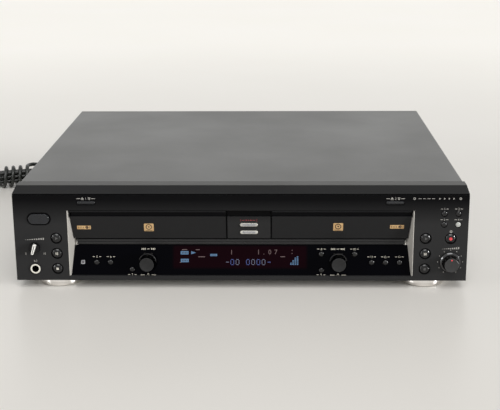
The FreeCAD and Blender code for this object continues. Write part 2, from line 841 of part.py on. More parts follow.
# Display window: a dark acrylic plate that leans back under the rail, bored for the keys and the jogs
def display_window():
    body = new_body("display_window")
    wall = S.window_wall
    low, high = window_face(WINDOW_LOW), window_face(WINDOW_HIGH)
    pad(body, "YZ_Plane", -S.recess_half, S.recess_half, outline(
        (low, WINDOW_LOW),
        (low + wall, WINDOW_LOW),
        (high + wall, WINDOW_HIGH),
        (high, WINDOW_HIGH),
    ))
    near_edge, far_edge = ZERO, S.bulkhead_depth
    for side in (-1, 1):
        cut(body, "XY_Plane", ZERO, RECESS_HIGH, outline(
            (S.recess_half * side + side, near_edge),
            ((trim_face(near_edge) - S.seat_gap) * side, near_edge),
            ((trim_face(far_edge) - S.seat_gap) * side, far_edge),
            (S.recess_half * side + side, far_edge),
        ))
    keys = [circle(across, height, S.key_cap_radius + S.button_clearance) for across, height in KEYS.values()]
    jogs = [circle(across, S.jog_height, S.jog_shaft_radius + S.button_clearance) for across in JOGS.values()]
    cut(body, "XZ_Plane", ZERO, S.bulkhead_depth, *keys, *jogs)
    place(body)
    return finished(body)


# Top cover: one sheet of steel folded over the top and both sides, with four screw tabs at the rear edge
def top_cover():
    body = new_body("top_cover")
    half, inner, top = COVER_HALF, COVER_HALF - S.sheet_steel, CASE_HEIGHT
    pad(body, "XZ_Plane", S.panel_depth + S.seam_gap, S.case_depth, outline(
        (-half, ZERO), (-half, top), (half, top), (half, ZERO),
        (inner, ZERO), (inner, top - S.sheet_steel), (-inner, top - S.sheet_steel), (-inner, ZERO),
    ))
    dress(body, "Fillet", S.fold_radius,
          lambda edge, middle: near(middle.z, top) and near(abs(middle.x), half))
    tab_half = S.tab_width / 2
    for across in tab_places():
        pad(body, "XZ_Plane", S.case_depth - S.sheet_steel, S.case_depth,
            rectangle(across - tab_half, across + tab_half, top - S.tab_drop, top - S.sheet_steel / 2))
        cut(body, "XZ_Plane", S.case_depth - S.sheet_steel, S.case_depth,
            circle(across, tab_screw_height(), S.screw_shank_radius + S.screw_clearance))
    for side in (-1, 1):
        cut(body, "YZ_Plane", inner * side if side > 0 else -half, half if side > 0 else -inner,
            *[circle(depth, S.side_screw_height, S.screw_shank_radius + S.screw_clearance)
              for depth in (S.side_screw_front, SIDE_SCREW_REAR)])
    place(body)
    return finished(body)


def tab_places():
    return [S.tab_inner_place, TAB_OUTER_PLACE, -S.tab_inner_place, -TAB_OUTER_PLACE]


def tab_screw_height():
    return CASE_HEIGHT - S.tab_drop / 2 - S.sheet_steel


# Base chassis: a steel tray with folded edges, posts for the main board, and slots under the transformer
def base_chassis():
    body = new_body("base_chassis")
    sheet_wall = S.sheet_steel
    front = S.lip_depth + S.seat_gap
    rear = REAR_FACE - sheet_wall
    front_half, seam = PANEL_HALF - S.panel_wall - S.seat_gap, S.panel_depth + S.seam_gap
    pad(body, "XY_Plane", ZERO, sheet_wall, outline(
        (-front_half, front), (front_half, front), (front_half, seam), (INNER_HALF, seam),
        (INNER_HALF, rear), (-INNER_HALF, rear), (-INNER_HALF, seam), (-front_half, seam),
    ))
    for side in (-1, 1):
        low = INNER_HALF - sheet_wall if side > 0 else -INNER_HALF
        high = low + sheet_wall
        pad(body, "XY_Plane", ZERO, S.flange_rise, rectangle(low, high, seam, rear))
        cut(body, "YZ_Plane", low, high, *[
            circle(depth, S.side_screw_height, S.screw_shank_radius + S.screw_clearance)
            for depth in (S.side_screw_front, SIDE_SCREW_REAR)])
    radius = S.main_board_post_radius
    pad(body, "XY_Plane", sheet_wall / 2, S.main_board_height,
        *[circle(across, depth, radius) for across, depth in main_board_posts()])
    place(body)
    return finished(body)


def main_board_posts():
    inset = S.main_board_post_inset
    left, right = MAIN_BOARD_LEFT + inset, MAIN_BOARD_RIGHT - inset
    front, rear = MAIN_BOARD_FRONT + inset, MAIN_BOARD_REAR - inset
    return [(left, front), (right, front), (right, rear), (left, rear)]


# Rear panel: a flat steel plate that closes the case, bored for the sockets and the cord
def rear_panel():
    body = new_body("rear_panel")
    high = CASE_HEIGHT - S.sheet_steel - S.seat_gap
    front = REAR_FACE - S.sheet_steel
    pad(body, "XZ_Plane", front, REAR_FACE, rectangle(-INNER_HALF, INNER_HALF, ZERO, high))
    gap = S.seat_gap
    holes = [circle(across, height, S.socket_ring_radius + gap) for across, height in socket_places()]
    holes.append(circle(S.bush_place, S.bush_height, S.bush_neck_radius + S.bush_hole_clearance))
    shank = S.screw_shank_radius + S.screw_clearance
    holes += [circle(across, tab_screw_height(), shank) for across in tab_places()]
    reach = S.optical_half + gap
    for across in optical_places():
        holes.append(rectangle(
            across - reach, across + reach, S.socket_low_height - reach, S.socket_low_height + reach))
    cut(body, "XZ_Plane", front, REAR_FACE, *holes)
    place(body)
    return finished(body)


# Analogue sockets stand in two columns of two; the single digital one stands beyond them
def socket_places():
    left, low, pitch = SOCKET_PLACE, S.socket_low_height, S.socket_pitch
    analogue = [(left + pitch * column, low - pitch * row) for row in range(2) for column in range(2)]
    return analogue + [(left - pitch * 2, low)]


def optical_places():
    return [OPTICAL_PLACE, OPTICAL_PLACE + S.optical_pitch]


# Case screws: a low round head on a plain shank, all of one kind
def screws():
    members = []
    for across in tab_places():
        members.append(screw(across, S.case_depth, tab_screw_height(), Vector(1, 0, 0), FULL_TURN / 4))
    for side in (-1, 1):
        for depth in (S.side_screw_front, SIDE_SCREW_REAR):
            members.append(screw(COVER_HALF * side, depth, S.side_screw_height,
                                 Vector(0, 1, 0), -side * FULL_TURN / 4))
    return group("screws", members)


# The screw's own axis runs from the head's underside into the case
def screw(across, depth, height, axis, turn):
    head = doc.addObject("Part::Cylinder", "screw_head")
    head.setExpression("Radius", S.screw_head_radius.text)
    head.setExpression("Height", S.screw_head_rise.text)
    head.setExpression("Placement.Base.z", (-S.screw_head_rise).text)
    shank = doc.addObject("Part::Cylinder", "screw_shank")
    shank.setExpression("Radius", S.screw_shank_radius.text)
    shank.setExpression("Height", S.screw_shank_length.text)
    whole = doc.addObject("Part::MultiFuse", "screw")
    whole.Shapes = [head, shank]
    whole.Placement = FreeCAD.Placement(Vector(), FreeCAD.Rotation(axis, turn))
    place(whole, across, depth, height)
    return whole


def group(label, members):
    compound = doc.addObject("Part::Compound", label)
    compound.Label = label
    compound.Links = members
    doc.recompute()
    return finished(compound)


# Feet: four turned discs, bevelled at both rims, each on a slightly smaller pad
def feet():
    members = []
    for side in (-1, 1):
        for depth in (S.foot_front_depth, FOOT_REAR_DEPTH):
            members.append(foot(FOOT_PLACE * side, depth))
    return group("feet", members)


def foot(across, depth):
    body = new_body("foot")
    low, rim, bevel = -S.foot_height, S.foot_radius, S.foot_bevel
    turned(body, "XZ_Plane",
           (ZERO, low),
           (S.foot_pad_radius, low),
           (S.foot_pad_radius, low + S.foot_pad_rise),
           (rim - bevel, low + S.foot_pad_rise),
           (rim, low + S.foot_pad_rise + bevel),
           (rim, -bevel),
           (rim - bevel, ZERO),
           (ZERO, ZERO))
    place(body, across, depth)
    return body


# DECKS

# Tray door: a leaning front with a rim along its top and a dark band under the rim, hollow behind
def tray_door(side):
    body = new_body(f"tray_door_{side}")
    if side == "left":
        left, right = -S.recess_half, S.block_left - S.door_gap
        hollow_left = S.door_gap + S.door_hollow_wall - trim_face(S.door_back_depth)
        hollow_right = right - S.door_hollow_wall
    else:
        left, right = S.block_right + S.door_gap, S.recess_half
        hollow_left = left + S.door_hollow_wall
        hollow_right = trim_face(S.door_back_depth) - S.door_gap - S.door_hollow_wall
    pad(body, "YZ_Plane", left, right, outline(
        (S.door_low_depth, S.door_low_height),
        (S.door_back_depth, S.door_low_height),
        (S.door_back_depth, DOOR_TOP),
        (S.door_rim_depth, DOOR_TOP),
        (S.door_rim_depth, DOOR_TOP - S.door_rim_height),
        (S.door_band_depth, DOOR_TOP - S.door_rim_height),
        (S.door_band_depth, DOOR_FACE_TOP + S.door_band_lip),
        (S.door_face_depth, DOOR_FACE_TOP),
    ))
    sign = -1 if side == "left" else 1
    edge, deep = S.recess_half * sign, S.door_back_depth
    cut(body, "XY_Plane", S.door_low_height, DOOR_TOP, outline(
        (edge, ZERO),
        ((trim_face(ZERO) - S.door_gap) * sign, ZERO),
        ((trim_face(deep) - S.door_gap) * sign, deep),
        (edge, deep),
    ))
    cut(body, "XZ_Plane", S.door_band_depth + S.door_hollow_wall, S.door_back_depth, rectangle(
        hollow_left, hollow_right, TRAY_TOP + S.seat_gap, DOOR_TOP - S.door_rim_height - S.door_hollow_wall))
    place(body)
    return finished(body)


# Tray: a plate with round seats for a large and a small disc, slotted to the rear over the pickup,
# on two flanges that run in the deck's grooves
def tray(side):
    body = new_body(f"tray_{side}")
    bottom, floor = S.tray_bottom_height, S.tray_bottom_height + S.tray_floor
    front, rear = S.door_back_depth, S.tray_rear_depth
    pad(body, "XY_Plane", bottom, TRAY_TOP, rectangle(-TRAY_HALF, TRAY_HALF, front, rear))
    pad(body, "XY_Plane", bottom, bottom + S.tray_flange_height,
        rectangle(-FLANGE_HALF, FLANGE_HALF, S.deck_front_depth, rear))
    cut(body, "XY_Plane", floor, TRAY_TOP, circle(ZERO, S.disc_depth, RECESS_RADIUS))
    cut(body, "XY_Plane", floor - S.tray_step, floor,
        circle(ZERO, S.disc_depth, S.small_disc_radius + S.disc_clearance))
    cut(body, "XY_Plane", bottom, floor, circle(ZERO, S.disc_depth, S.tray_slot_half))
    cut(body, "XY_Plane", bottom, TRAY_TOP,
        rectangle(-S.tray_slot_half, S.tray_slot_half, S.disc_depth, rear))
    place(body, DECKS[side])
    return finished(body)


# Deck frame: an open-topped moulding on four posts, grooved for the tray, with a bridge over the disc
def deck_frame(side):
    body = new_body(f"deck_frame_{side}")
    front, rear, low, high = S.deck_front_depth, DECK_REAR, S.deck_height, DECK_TOP
    inner = DECK_INNER_HALF
    pad(body, "XY_Plane", low, high, rectangle(-DECK_HALF, DECK_HALF, front, rear))
    cut(body, "XY_Plane", low + S.deck_floor, high,
        rectangle(-inner, inner, front + S.deck_wall, rear - S.deck_wall))
    opening, inset = DECK_INNER_HALF - S.deck_opening_inset, S.deck_wall + S.deck_opening_inset
    cut(body, "XY_Plane", low, low + S.deck_floor, rectangle(-opening, opening, front + inset, rear - inset))
    groove_low = S.tray_bottom_height - S.tray_running_gap
    groove_high = S.tray_bottom_height + S.tray_flange_height + S.tray_running_gap
    cut(body, "XY_Plane", groove_low, groove_high,
        rectangle(-GROOVE_HALF, GROOVE_HALF, front, S.tray_rear_depth + S.tray_running_gap))
    cut(body, "XY_Plane", groove_high, high, rectangle(-inner, inner, front, front + S.deck_wall))
    pad(body, "XY_Plane", BRIDGE_HEIGHT, BRIDGE_HEIGHT + S.bridge_wall,
        rectangle(-inner, inner, S.disc_depth - S.bridge_half, S.disc_depth + S.bridge_half))
    cut(body, "XY_Plane", BRIDGE_HEIGHT, BRIDGE_HEIGHT + S.bridge_wall,
        circle(ZERO, S.disc_depth, S.clamper_neck_radius + S.clamper_neck_gap))
    cut(body, "YZ_Plane", -DECK_HALF, DECK_HALF,
        circle(S.pivot_depth, PIVOT_HEIGHT, S.pivot_radius + S.pivot_clearance))
    post = DECK_HALF - S.deck_opening_inset
    pad(body, "XY_Plane", S.sheet_steel, low + S.deck_floor / 2, *[
        circle(post * sign, depth, S.deck_post_radius)
        for sign in (-1, 1) for depth in (front + S.deck_opening_inset, rear - S.deck_opening_inset)])
    place(body, DECKS[side])
    return finished(body)


# Clampers: magnetic pucks that hang in the bridges by a flange and press a raised disc down
def clampers():
    return group("clampers", [clamper(side) for side in DECKS])


def clamper(side):
    body = new_body("clamper")
    under = BRIDGE_HEIGHT - S.clamper_drop
    top = BRIDGE_HEIGHT + S.bridge_wall
    turned(body, "XZ_Plane",
           (S.clamper_bore_radius, under - S.clamper_wall),
           (S.clamper_radius, under - S.clamper_wall),
           (S.clamper_radius, under),
           (S.clamper_neck_radius, under),
           (S.clamper_neck_radius, top),
           (S.clamper_radius, top),
           (S.clamper_radius, top + S.clamper_flange_wall),
           (S.clamper_bore_radius, top + S.clamper_flange_wall))
    place(body, DECKS[side], S.disc_depth)
    return body


# What rides on the chassis is drawn level about the pivot, and rests tilted down at the front
def place_on_chassis(item, across, along):
    turn_by(item, Vector(1, 0, 0), S.lift_angle)
    place(item, across,
          S.pivot_depth + along * cosine(S.lift_angle), PIVOT_HEIGHT + along * sine(S.lift_angle))


SPINDLE_ALONG = S.disc_depth - S.pivot_depth
LENS_ALONG = SPINDLE_ALONG + S.pickup_inner_radius


# Pickup chassis: a frame on two pivot pins, with the disc motor and the two guide rods of the pickup
def pickup_chassis(side):
    body = new_body(f"pickup_chassis_{side}")
    under, over = -S.chassis_under, S.chassis_over
    half, window = S.chassis_half, S.chassis_window_half
    pad(body, "XY_Plane", under, over, rectangle(-half, half, -S.chassis_reach, S.chassis_tail))
    cut(body, "XY_Plane", under, over,
        rectangle(-window, window, -S.chassis_window_far, -S.chassis_window_near))
    pad(body, "XY_Plane", under - S.motor_height, under, circle(ZERO, SPINDLE_ALONG, S.motor_radius))
    pad(body, "XY_Plane", over, over + S.boss_rise, circle(ZERO, SPINDLE_ALONG, S.boss_radius))
    shaft_low = S.turntable_seat - S.turntable_wall - S.shaft_length
    cut(body, "XY_Plane", shaft_low - S.seat_gap, over + S.boss_rise,
        circle(ZERO, SPINDLE_ALONG, S.shaft_radius + S.shaft_clearance))
    pad(body, "XZ_Plane", -S.chassis_window_far - S.rod_radius, S.rod_radius - S.chassis_window_near,
        *[circle(S.rod_place * sign, ZERO, S.rod_radius) for sign in (-1, 1)])
    pin_end = DECK_HALF - S.seat_gap
    pad(body, "YZ_Plane", half - S.seat_gap, pin_end, circle(ZERO, ZERO, S.pivot_radius))
    pad(body, "YZ_Plane", -pin_end, S.seat_gap - half, circle(ZERO, ZERO, S.pivot_radius))
    place_on_chassis(body, DECKS[side], ZERO)
    return finished(body)


# Turntable: a disc seat with a centring cone on the motor's shaft
def turntable(side):
    body = new_body(f"turntable_{side}")
    seat, under = S.turntable_seat, S.turntable_seat - S.turntable_wall
    turned(body, "XZ_Plane",
           (ZERO, under - S.shaft_length),
           (S.shaft_radius, under - S.shaft_length),
           (S.shaft_radius, under),
           (S.turntable_radius, under),
           (S.turntable_radius, seat),
           (S.cone_radius, seat),
           (S.cone_tip_radius, seat + S.cone_rise),
           (ZERO, seat + S.cone_rise))
    place_on_chassis(body, DECKS[side], SPINDLE_ALONG)
    return finished(body)


# Pickup: a sled bored for the guide rods, waisted between them, with the lens on a turret
def pickup(side):
    body = new_body(f"pickup_{side}")
    half, waist, under, over = S.pickup_half, S.pickup_waist, -S.pickup_under, S.pickup_over
    front, rear = -S.pickup_front, S.pickup_rear
    pad(body, "XY_Plane", under, over, rectangle(-half, half, front, rear))
    for sign in (-1, 1):
        low, high = (waist, half) if sign > 0 else (-half, -waist)
        cut(body, "XY_Plane", S.rod_radius + S.shaft_clearance + S.button_flange_wall, over,
            rectangle(low, high, front, rear))
    cut(body, "XZ_Plane", front, rear,
        *[circle(S.rod_place * sign, ZERO, S.rod_radius + S.shaft_clearance) for sign in (-1, 1)])
    pad(body, "XY_Plane", over, S.turret_rise, circle(ZERO, ZERO, S.turret_radius))
    pad(body, "XY_Plane", S.turret_rise, S.turret_rise + S.lens_rise, circle(ZERO, ZERO, S.lens_radius))
    place_on_chassis(body, DECKS[side], LENS_ALONG)
    return finished(body)


# BUTTONS AND KNOBS

# A round button: a cap with a turned edge, a flange that stops it behind the wall, and a stem to its switch
def round_button(label, across, height, cap, face, proud, wall_back):
    body = new_body(label)
    front, edge, flange = face - proud, S.button_edge, wall_back + S.seat_gap
    stem_end = S.front_board_depth - S.button_travel - S.seat_gap
    turned(body, "XY_Plane",
           (ZERO, front),
           (cap - edge, front),
           (cap, front + edge),
           (cap, flange),
           (cap + S.button_flange, flange),
           (cap + S.button_flange, flange + S.button_flange_wall),
           (S.button_stem_radius, flange + S.button_flange_wall),
           (S.button_stem_radius, stem_end),
           (ZERO, stem_end))
    place(body, across, ZERO, height)
    return finished(body)


# A long button: a round-ended bar through its slot, with a wider bar behind the wall
def long_button(label, across, height, length, thick, front, wall_back):
    body = new_body(label)
    flange, grow = wall_back + S.seat_gap, S.button_flange * 2
    pad(body, "XZ_Plane", front, flange, stadium(ZERO, ZERO, length, thick))
    dress(body, "Chamfer", S.button_edge, lambda edge, middle: near(middle.y, front))
    pad(body, "XZ_Plane", flange, flange + S.button_flange_wall,
        stadium(ZERO, ZERO, length + grow, thick + grow))
    place(body, across, ZERO, height)
    return finished(body)


def buttons():
    for name, height in TRANSPORT_HEIGHTS.items():
        for side, sign in (("left", -1), ("right", 1)):
            round_button(f"{name}_button_{side}", TRANSPORT_PLACE * sign, height, S.transport_cap_radius,
                         ZERO, S.transport_proud, S.panel_wall)
    round_button("record_button", RECORD_PLACE, S.record_height, S.record_cap_radius,
                 ZERO, S.transport_proud, S.panel_wall)
    for name, (across, height) in SMALL_BUTTONS.items():
        round_button(f"{name}_button", across, height, S.small_cap_radius, ZERO, S.small_proud, S.panel_wall)
    for name, (across, height) in KEYS.items():
        highest = height + S.key_cap_radius + S.button_flange
        round_button(name, across, height, S.key_cap_radius,
                     window_face(height), S.key_proud, window_face(highest) + S.window_wall)
    long_button("power_button", POWER_PLACE, S.power_height, S.power_length, S.power_thick,
                -S.power_proud, S.panel_wall)
    for side, across in EJECTS.items():
        long_button(f"eject_button_{side}", across, EJECT_HEIGHT, S.eject_length, S.eject_thick,
                    -S.eject_proud, S.panel_wall)
    for name, height in SYNC_HEIGHTS.items():
        lowest = height - S.sync_thick / 2 - S.button_flange
        long_button(f"sync_button_{name}", SYNC_PLACE, height, S.sync_length, S.sync_thick,
                    door_face(height) - S.sync_proud, door_face(lowest) + S.panel_wall)


JOG_BACK = window_face(S.jog_height - S.jog_collar_radius) - S.jog_gap


# Jog knob: a flared, bevelled drum with a bright collar, bored from behind for its shaft
def jog_knob(side):
    body = new_body(f"jog_knob_{side}")
    front, edge = JOG_BACK - S.jog_length, S.jog_edge
    bore = S.jog_shaft_radius + S.jog_shaft_clearance
    turned(body, "XY_Plane",
           (ZERO, front + edge / 2),
           (S.jog_front_radius - edge * 2, front + edge / 2),
           (S.jog_front_radius - edge, front),
           (S.jog_front_radius, front + edge),
           (S.jog_root_radius, JOG_BACK - S.jog_collar_wall),
           (S.jog_collar_radius, JOG_BACK - S.jog_collar_wall),
           (S.jog_collar_radius, JOG_BACK),
           (bore, JOG_BACK),
           (bore, front + S.jog_bore_wall),
           (ZERO, front + S.jog_bore_wall))
    place(body, JOGS[side], ZERO, S.jog_height)
    return finished(body)


# Jog plunger: the encoder's shaft, which carries the knob and sinks with it when it is pushed
def jog_plunger(side):
    body = new_body(f"jog_plunger_{side}")
    tip = JOG_BACK - S.jog_length + S.jog_bore_wall + S.shaft_clearance
    stop = window_face(S.jog_height + S.jog_flange_radius) + S.window_wall + S.seat_gap
    end = S.front_board_depth - S.jog_travel - S.seat_gap
    turned(body, "XY_Plane",
           (ZERO, tip),
           (S.jog_shaft_radius, tip),
           (S.jog_shaft_radius, stop),
           (S.jog_flange_radius, stop),
           (S.jog_flange_radius, stop + S.button_flange_wall),
           (S.jog_shaft_radius, stop + S.button_flange_wall),
           (S.jog_shaft_radius, end),
           (ZERO, end))
    place(body, JOGS[side], ZERO, S.jog_height)
    return finished(body)


# Phone level knob: a small disc with a raised pointer bar, turned to its low end
def phone_level_knob():
    body = new_body("phone_level_knob")
    front, back = -S.knob_gap - S.phone_knob_proud, -S.knob_gap
    radius, edge = S.phone_knob_radius, S.button_edge
    turned(body, "XY_Plane",
           (ZERO, front),
           (radius - edge, front),
           (radius, front + edge),
           (radius, back),
           (S.knob_shaft_radius, back),
           (S.knob_shaft_radius, S.front_board_depth - S.seat_gap),
           (ZERO, S.front_board_depth - S.seat_gap))
    half, reach = S.phone_bar_half, S.phone_bar_reach
    pad(body, "XZ_Plane", front - S.phone_bar_rise, front, rectangle(-half, half, -reach, reach))
    turn_by(body, Vector(0, 1, 0), S.phone_rest_turn)
    place(body, PHONE_KNOB_PLACE, ZERO, S.phone_knob_height)
    return finished(body)


# Record level knob: a broad skirted drum, slightly tapered, on a plain shaft
def record_level_knob():
    body = new_body("record_level_knob")
    front, back, edge = -S.record_knob_proud, -S.knob_gap, S.record_knob_edge
    turned(body, "XY_Plane",
           (ZERO, front),
           (S.record_knob_front_radius - edge, front),
           (S.record_knob_front_radius, front + edge),
           (S.record_knob_radius, back),
           (S.knob_shaft_radius, back),
           (S.knob_shaft_radius, S.front_board_depth - S.seat_gap),
           (ZERO, S.front_board_depth - S.seat_gap))
    place(body, RECORD_KNOB_PLACE, ZERO, S.record_knob_height)
    return finished(body)


# Headphone socket: a ring nut on the face, a neck through the panel, and a square body on the board
def phones_jack():
    body = new_body("phones_jack")
    half, behind = S.jack_body_half, S.panel_wall + S.seat_gap
    pad(body, "XZ_Plane", -S.jack_ring_proud, ZERO, circle(ZERO, ZERO, S.jack_ring_radius))
    pad(body, "XZ_Plane", ZERO, behind, circle(ZERO, ZERO, S.jack_neck_radius))
    pad(body, "XZ_Plane", behind, S.jack_body_depth, rectangle(-half, half, -half, half))
    cut(body, "XZ_Plane", -S.jack_ring_proud, S.jack_body_depth - S.panel_wall,
        circle(ZERO, ZERO, S.jack_bore_radius))
    place(body, JACK_PLACE, ZERO, S.jack_height)
    return finished(body)


# INSIDE THE CASE

# Circuit boards: a front board behind the panel with the display tube, and a main board on its posts
def circuit_boards():
    body = new_body("circuit_boards")
    front, back = S.front_board_depth, S.front_board_depth + S.board_wall
    half, top, high = PANEL_HALF - S.panel_wall - S.front_board_side_gap, FRONT_BOARD_TOP, S.front_board_high
    arm, reach = S.recess_half + S.front_board_arm_gap, S.jack_body_half + S.board_cut_gap
    pad(body, "XZ_Plane", front, back, outline(
        (JACK_PLACE + reach, S.front_board_low), (half, S.front_board_low), (half, top), (arm, top),
        (arm, high), (-arm, high), (-arm, top), (-half, top),
        (-half, S.jack_height + reach), (JACK_PLACE + reach, S.jack_height + reach),
    ))
    pad(body, "XZ_Plane", S.tube_depth, front, rectangle(-S.tube_half, S.tube_half, S.tube_low, S.tube_high))
    low, board_top = S.main_board_height, S.main_board_height + S.board_wall
    pad(body, "XY_Plane", low, board_top,
        rectangle(MAIN_BOARD_LEFT, MAIN_BOARD_RIGHT, MAIN_BOARD_FRONT, MAIN_BOARD_REAR))
    pad(body, "XY_Plane", board_top, board_top + S.capacitor_height,
        *[circle(across, depth, S.capacitor_radius) for across, depth in capacitor_places()])
    sink_front, sink_right = MAIN_BOARD_FRONT + S.heat_sink_fin, HEAT_SINK_LEFT + S.heat_sink_length
    pad(body, "XY_Plane", board_top, board_top + S.heat_sink_height,
        rectangle(HEAT_SINK_LEFT, sink_right, sink_front, sink_front + S.heat_sink_fin))
    pitch = (S.heat_sink_length - S.heat_sink_fin) / (HEAT_SINK_FINS - 1)
    fins = [HEAT_SINK_LEFT + pitch * place_number for place_number in range(HEAT_SINK_FINS)]
    pad(body, "XY_Plane", board_top, board_top + S.heat_sink_height, *[
        rectangle(fin, fin + S.heat_sink_fin,
                  sink_front + S.heat_sink_fin / 2, sink_front + S.heat_sink_depth)
        for fin in fins])
    place(body)
    return finished(body)


HEAT_SINK_FINS = 7
CAPACITORS = 4


# The large capacitors stand in a row behind the heat sink
def capacitor_places():
    pitch = S.capacitor_radius * 2 + S.capacitor_gap
    depth = MAIN_BOARD_FRONT + S.heat_sink_depth + S.capacitor_radius * 2
    first = HEAT_SINK_LEFT + S.capacitor_radius
    return [(first + pitch * number, depth) for number in range(CAPACITORS)]


# Power transformer: an upright laminated core with its winding bulging at both faces, on two ears
def power_transformer():
    body = new_body("power_transformer")
    left = S.core_inset - INNER_HALF
    right = left + S.core_width
    front, back = DECK_REAR + S.core_gap, DECK_REAR + S.core_gap + S.core_depth
    low, high = S.sheet_steel, S.sheet_steel + S.core_height
    middle = low + S.core_height / 2
    pad(body, "XZ_Plane", front, back, rectangle(left, right, low, high))
    inset, half = S.coil_inset, S.coil_thick / 2
    pad(body, "XZ_Plane", front - S.coil_bulge, back + S.coil_bulge,
        rectangle(left + inset, right - inset, middle - half, middle + half))
    dress(body, "Fillet", S.coil_round, lambda edge, point: (
        near(point.z, middle + half) or near(point.z, middle - half)) and (
        near(point.y, front - S.coil_bulge) or near(point.y, back + S.coil_bulge)))
    depth = (front + back) / 2
    pad(body, "XY_Plane", low, low + S.ear_wall,
        rectangle(left - S.ear_reach, right + S.ear_reach, depth - S.ear_half, depth + S.ear_half))
    place(body)
    return finished(body)


# Rear sockets: one moulded block behind the panel, with bored sleeves and two square optical ports
def rear_sockets():
    body = new_body("rear_sockets")
    edge, low, pitch = S.socket_block_edge, S.socket_low_height, S.socket_pitch
    left, right = OPTICAL_PLACE - edge, SOCKET_PLACE + pitch + edge
    step = SOCKET_PLACE - edge
    panel_front = REAR_FACE - S.sheet_steel
    pad(body, "XZ_Plane", panel_front - S.socket_block_depth, panel_front, outline(
        (left, low - edge), (step, low - edge), (step, low - pitch - edge),
        (right, low - pitch - edge), (right, low + edge), (left, low + edge),
    ))
    ring_end, sleeve_end = REAR_FACE + S.optical_reach, S.case_depth + S.socket_reach
    pad(body, "XZ_Plane", panel_front, ring_end,
        *[circle(across, height, S.socket_ring_radius) for across, height in socket_places()])
    pad(body, "XZ_Plane", ring_end, sleeve_end,
        *[circle(across, height, S.socket_radius) for across, height in socket_places()])
    cut(body, "XZ_Plane", sleeve_end - S.socket_bore_deep, sleeve_end,
        *[circle(across, height, S.socket_bore_radius) for across, height in socket_places()])
    half = S.optical_half
    pad(body, "XZ_Plane", panel_front, ring_end, *[
        rectangle(across - half, across + half, low - half, low + half) for across in optical_places()])
    place(body)
    return finished(body)


# MAINS CORD

# Cord bush: a moulded strain relief snapped into the rear panel, tapering to the cord
def cord_bush():
    body = new_body("cord_bush")
    panel_front = REAR_FACE - S.sheet_steel
    turned(body, "XY_Plane",
           (ZERO, panel_front - S.bush_lip_wall),
           (S.bush_neck_radius, panel_front - S.bush_lip_wall),
           (S.bush_lip_radius, panel_front - S.bush_hole_clearance),
           (S.bush_neck_radius, panel_front - S.bush_hole_clearance),
           (S.bush_neck_radius, REAR_FACE + S.bush_hole_clearance),
           (S.bush_flange_radius, REAR_FACE + S.bush_hole_clearance),
           (S.bush_flange_radius, REAR_FACE + S.bush_flange_wall),
           (S.bush_root_radius, REAR_FACE + S.bush_flange_wall),
           (S.bush_tip_radius, REAR_FACE + S.bush_length),
           (ZERO, REAR_FACE + S.bush_length))
    place(body, S.bush_place, ZERO, S.bush_height)
    return finished(body)


CORD_RADIUS = S.cord_diameter / 2
CORD_SIDES = 8
TABLE = -S.foot_height


# A point of the hank, from its own axes (along, sideways, above the table) to the case's axes
def from_hank(along, side, rise):
    across = S.hank_place + along * cosine(S.hank_turn) - side * sine(S.hank_turn)
    depth = S.hank_depth + along * sine(S.hank_turn) + side * cosine(S.hank_turn)
    return across, depth, TABLE + rise


# The lead leaves the bush, sinks to the table and turns left to the hank
def lead_route():
    column = S.hank_pitch / 2
    return [
        (S.bush_place, REAR_FACE + S.bush_length, S.bush_height),
        (S.bush_place, REAR_FACE + S.bush_length + S.lead_end_run, S.bush_height),
        (-109.0, 445.5, 8.5),
        (-121.0, 457.0, -1.5),
        (-139.0, 459.0, TABLE + CORD_RADIUS),
        (-157.0, 451.0, TABLE + CORD_RADIUS),
        (-173.0, 440.0, TABLE + CORD_RADIUS),
        (-189.0, 428.5, TABLE + CORD_RADIUS),
        from_hank(S.hank_entry + S.lead_end_run, column, CORD_RADIUS),
        from_hank(S.hank_entry, column, CORD_RADIUS),
    ]


def vectors(points):
    return [Vector(*[as_size(value).number for value in point]) for point in points]


# Straight runs joined by tangent arcs, each arc as large as its two runs allow
ARC_SHARE = 0.45


def route_wire(points):
    radii, edges, start = [], [], points[0]
    for before, corner, after in zip(points, points[1:], points[2:]):
        leave, go = (corner - before).normalize(), (after - corner).normalize()
        tangent = ARC_SHARE * min((corner - before).Length, (after - corner).Length)
        half_turn = leave.getAngle(go) / 2
        radius = tangent / math.tan(half_turn)
        inward = (go - leave).normalize()
        middle = corner + inward * (radius / math.cos(half_turn) - radius)
        first, last = corner - leave * tangent, corner + go * tangent
        edges += [Part.LineSegment(start, first).toShape(), Part.Arc(first, middle, last).toShape()]
        radii.append(radius)
        start = last
    edges.append(Part.LineSegment(start, points[-1]).toShape())
    return Part.Wire(edges), radii


STRAIGHT = 1e-6


# An arc that leaves the first point along the given direction and ends in the second
def arc_from(start, direction, end):
    chord = end - start
    inward = chord - direction * chord.dot(direction)
    if inward.Length < STRAIGHT:
        return Part.LineSegment(start, end).toShape()
    inward.normalize()
    radius = chord.Length ** 2 / (2 * chord.dot(inward))
    centre = start + inward * radius
    middle = centre + ((start - centre) + (end - centre)).normalize() * radius
    return Part.Arc(start, middle, end).toShape()


# Two arcs that join two stations, each a point and a direction
def biarc(start, leave, end, arrive):
    chord, total = end - start, leave + arrive
    spread = 2 * (1 - leave.dot(arrive))
    if spread < STRAIGHT:
        reach = chord.dot(chord) / (4 * chord.dot(leave))
    else:
        reach = (math.sqrt(chord.dot(total) ** 2 + spread * chord.dot(chord)) - chord.dot(total)) / spread
    joint = (start + end + (leave - arrive) * reach) / 2
    if (chord - leave * chord.dot(leave)).Length < STRAIGHT and spread < STRAIGHT:
        return [Part.LineSegment(start, end).toShape()]
    return [arc_from(start, leave, joint), reversed_edge(arc_from(end, arrive * -1, joint))]


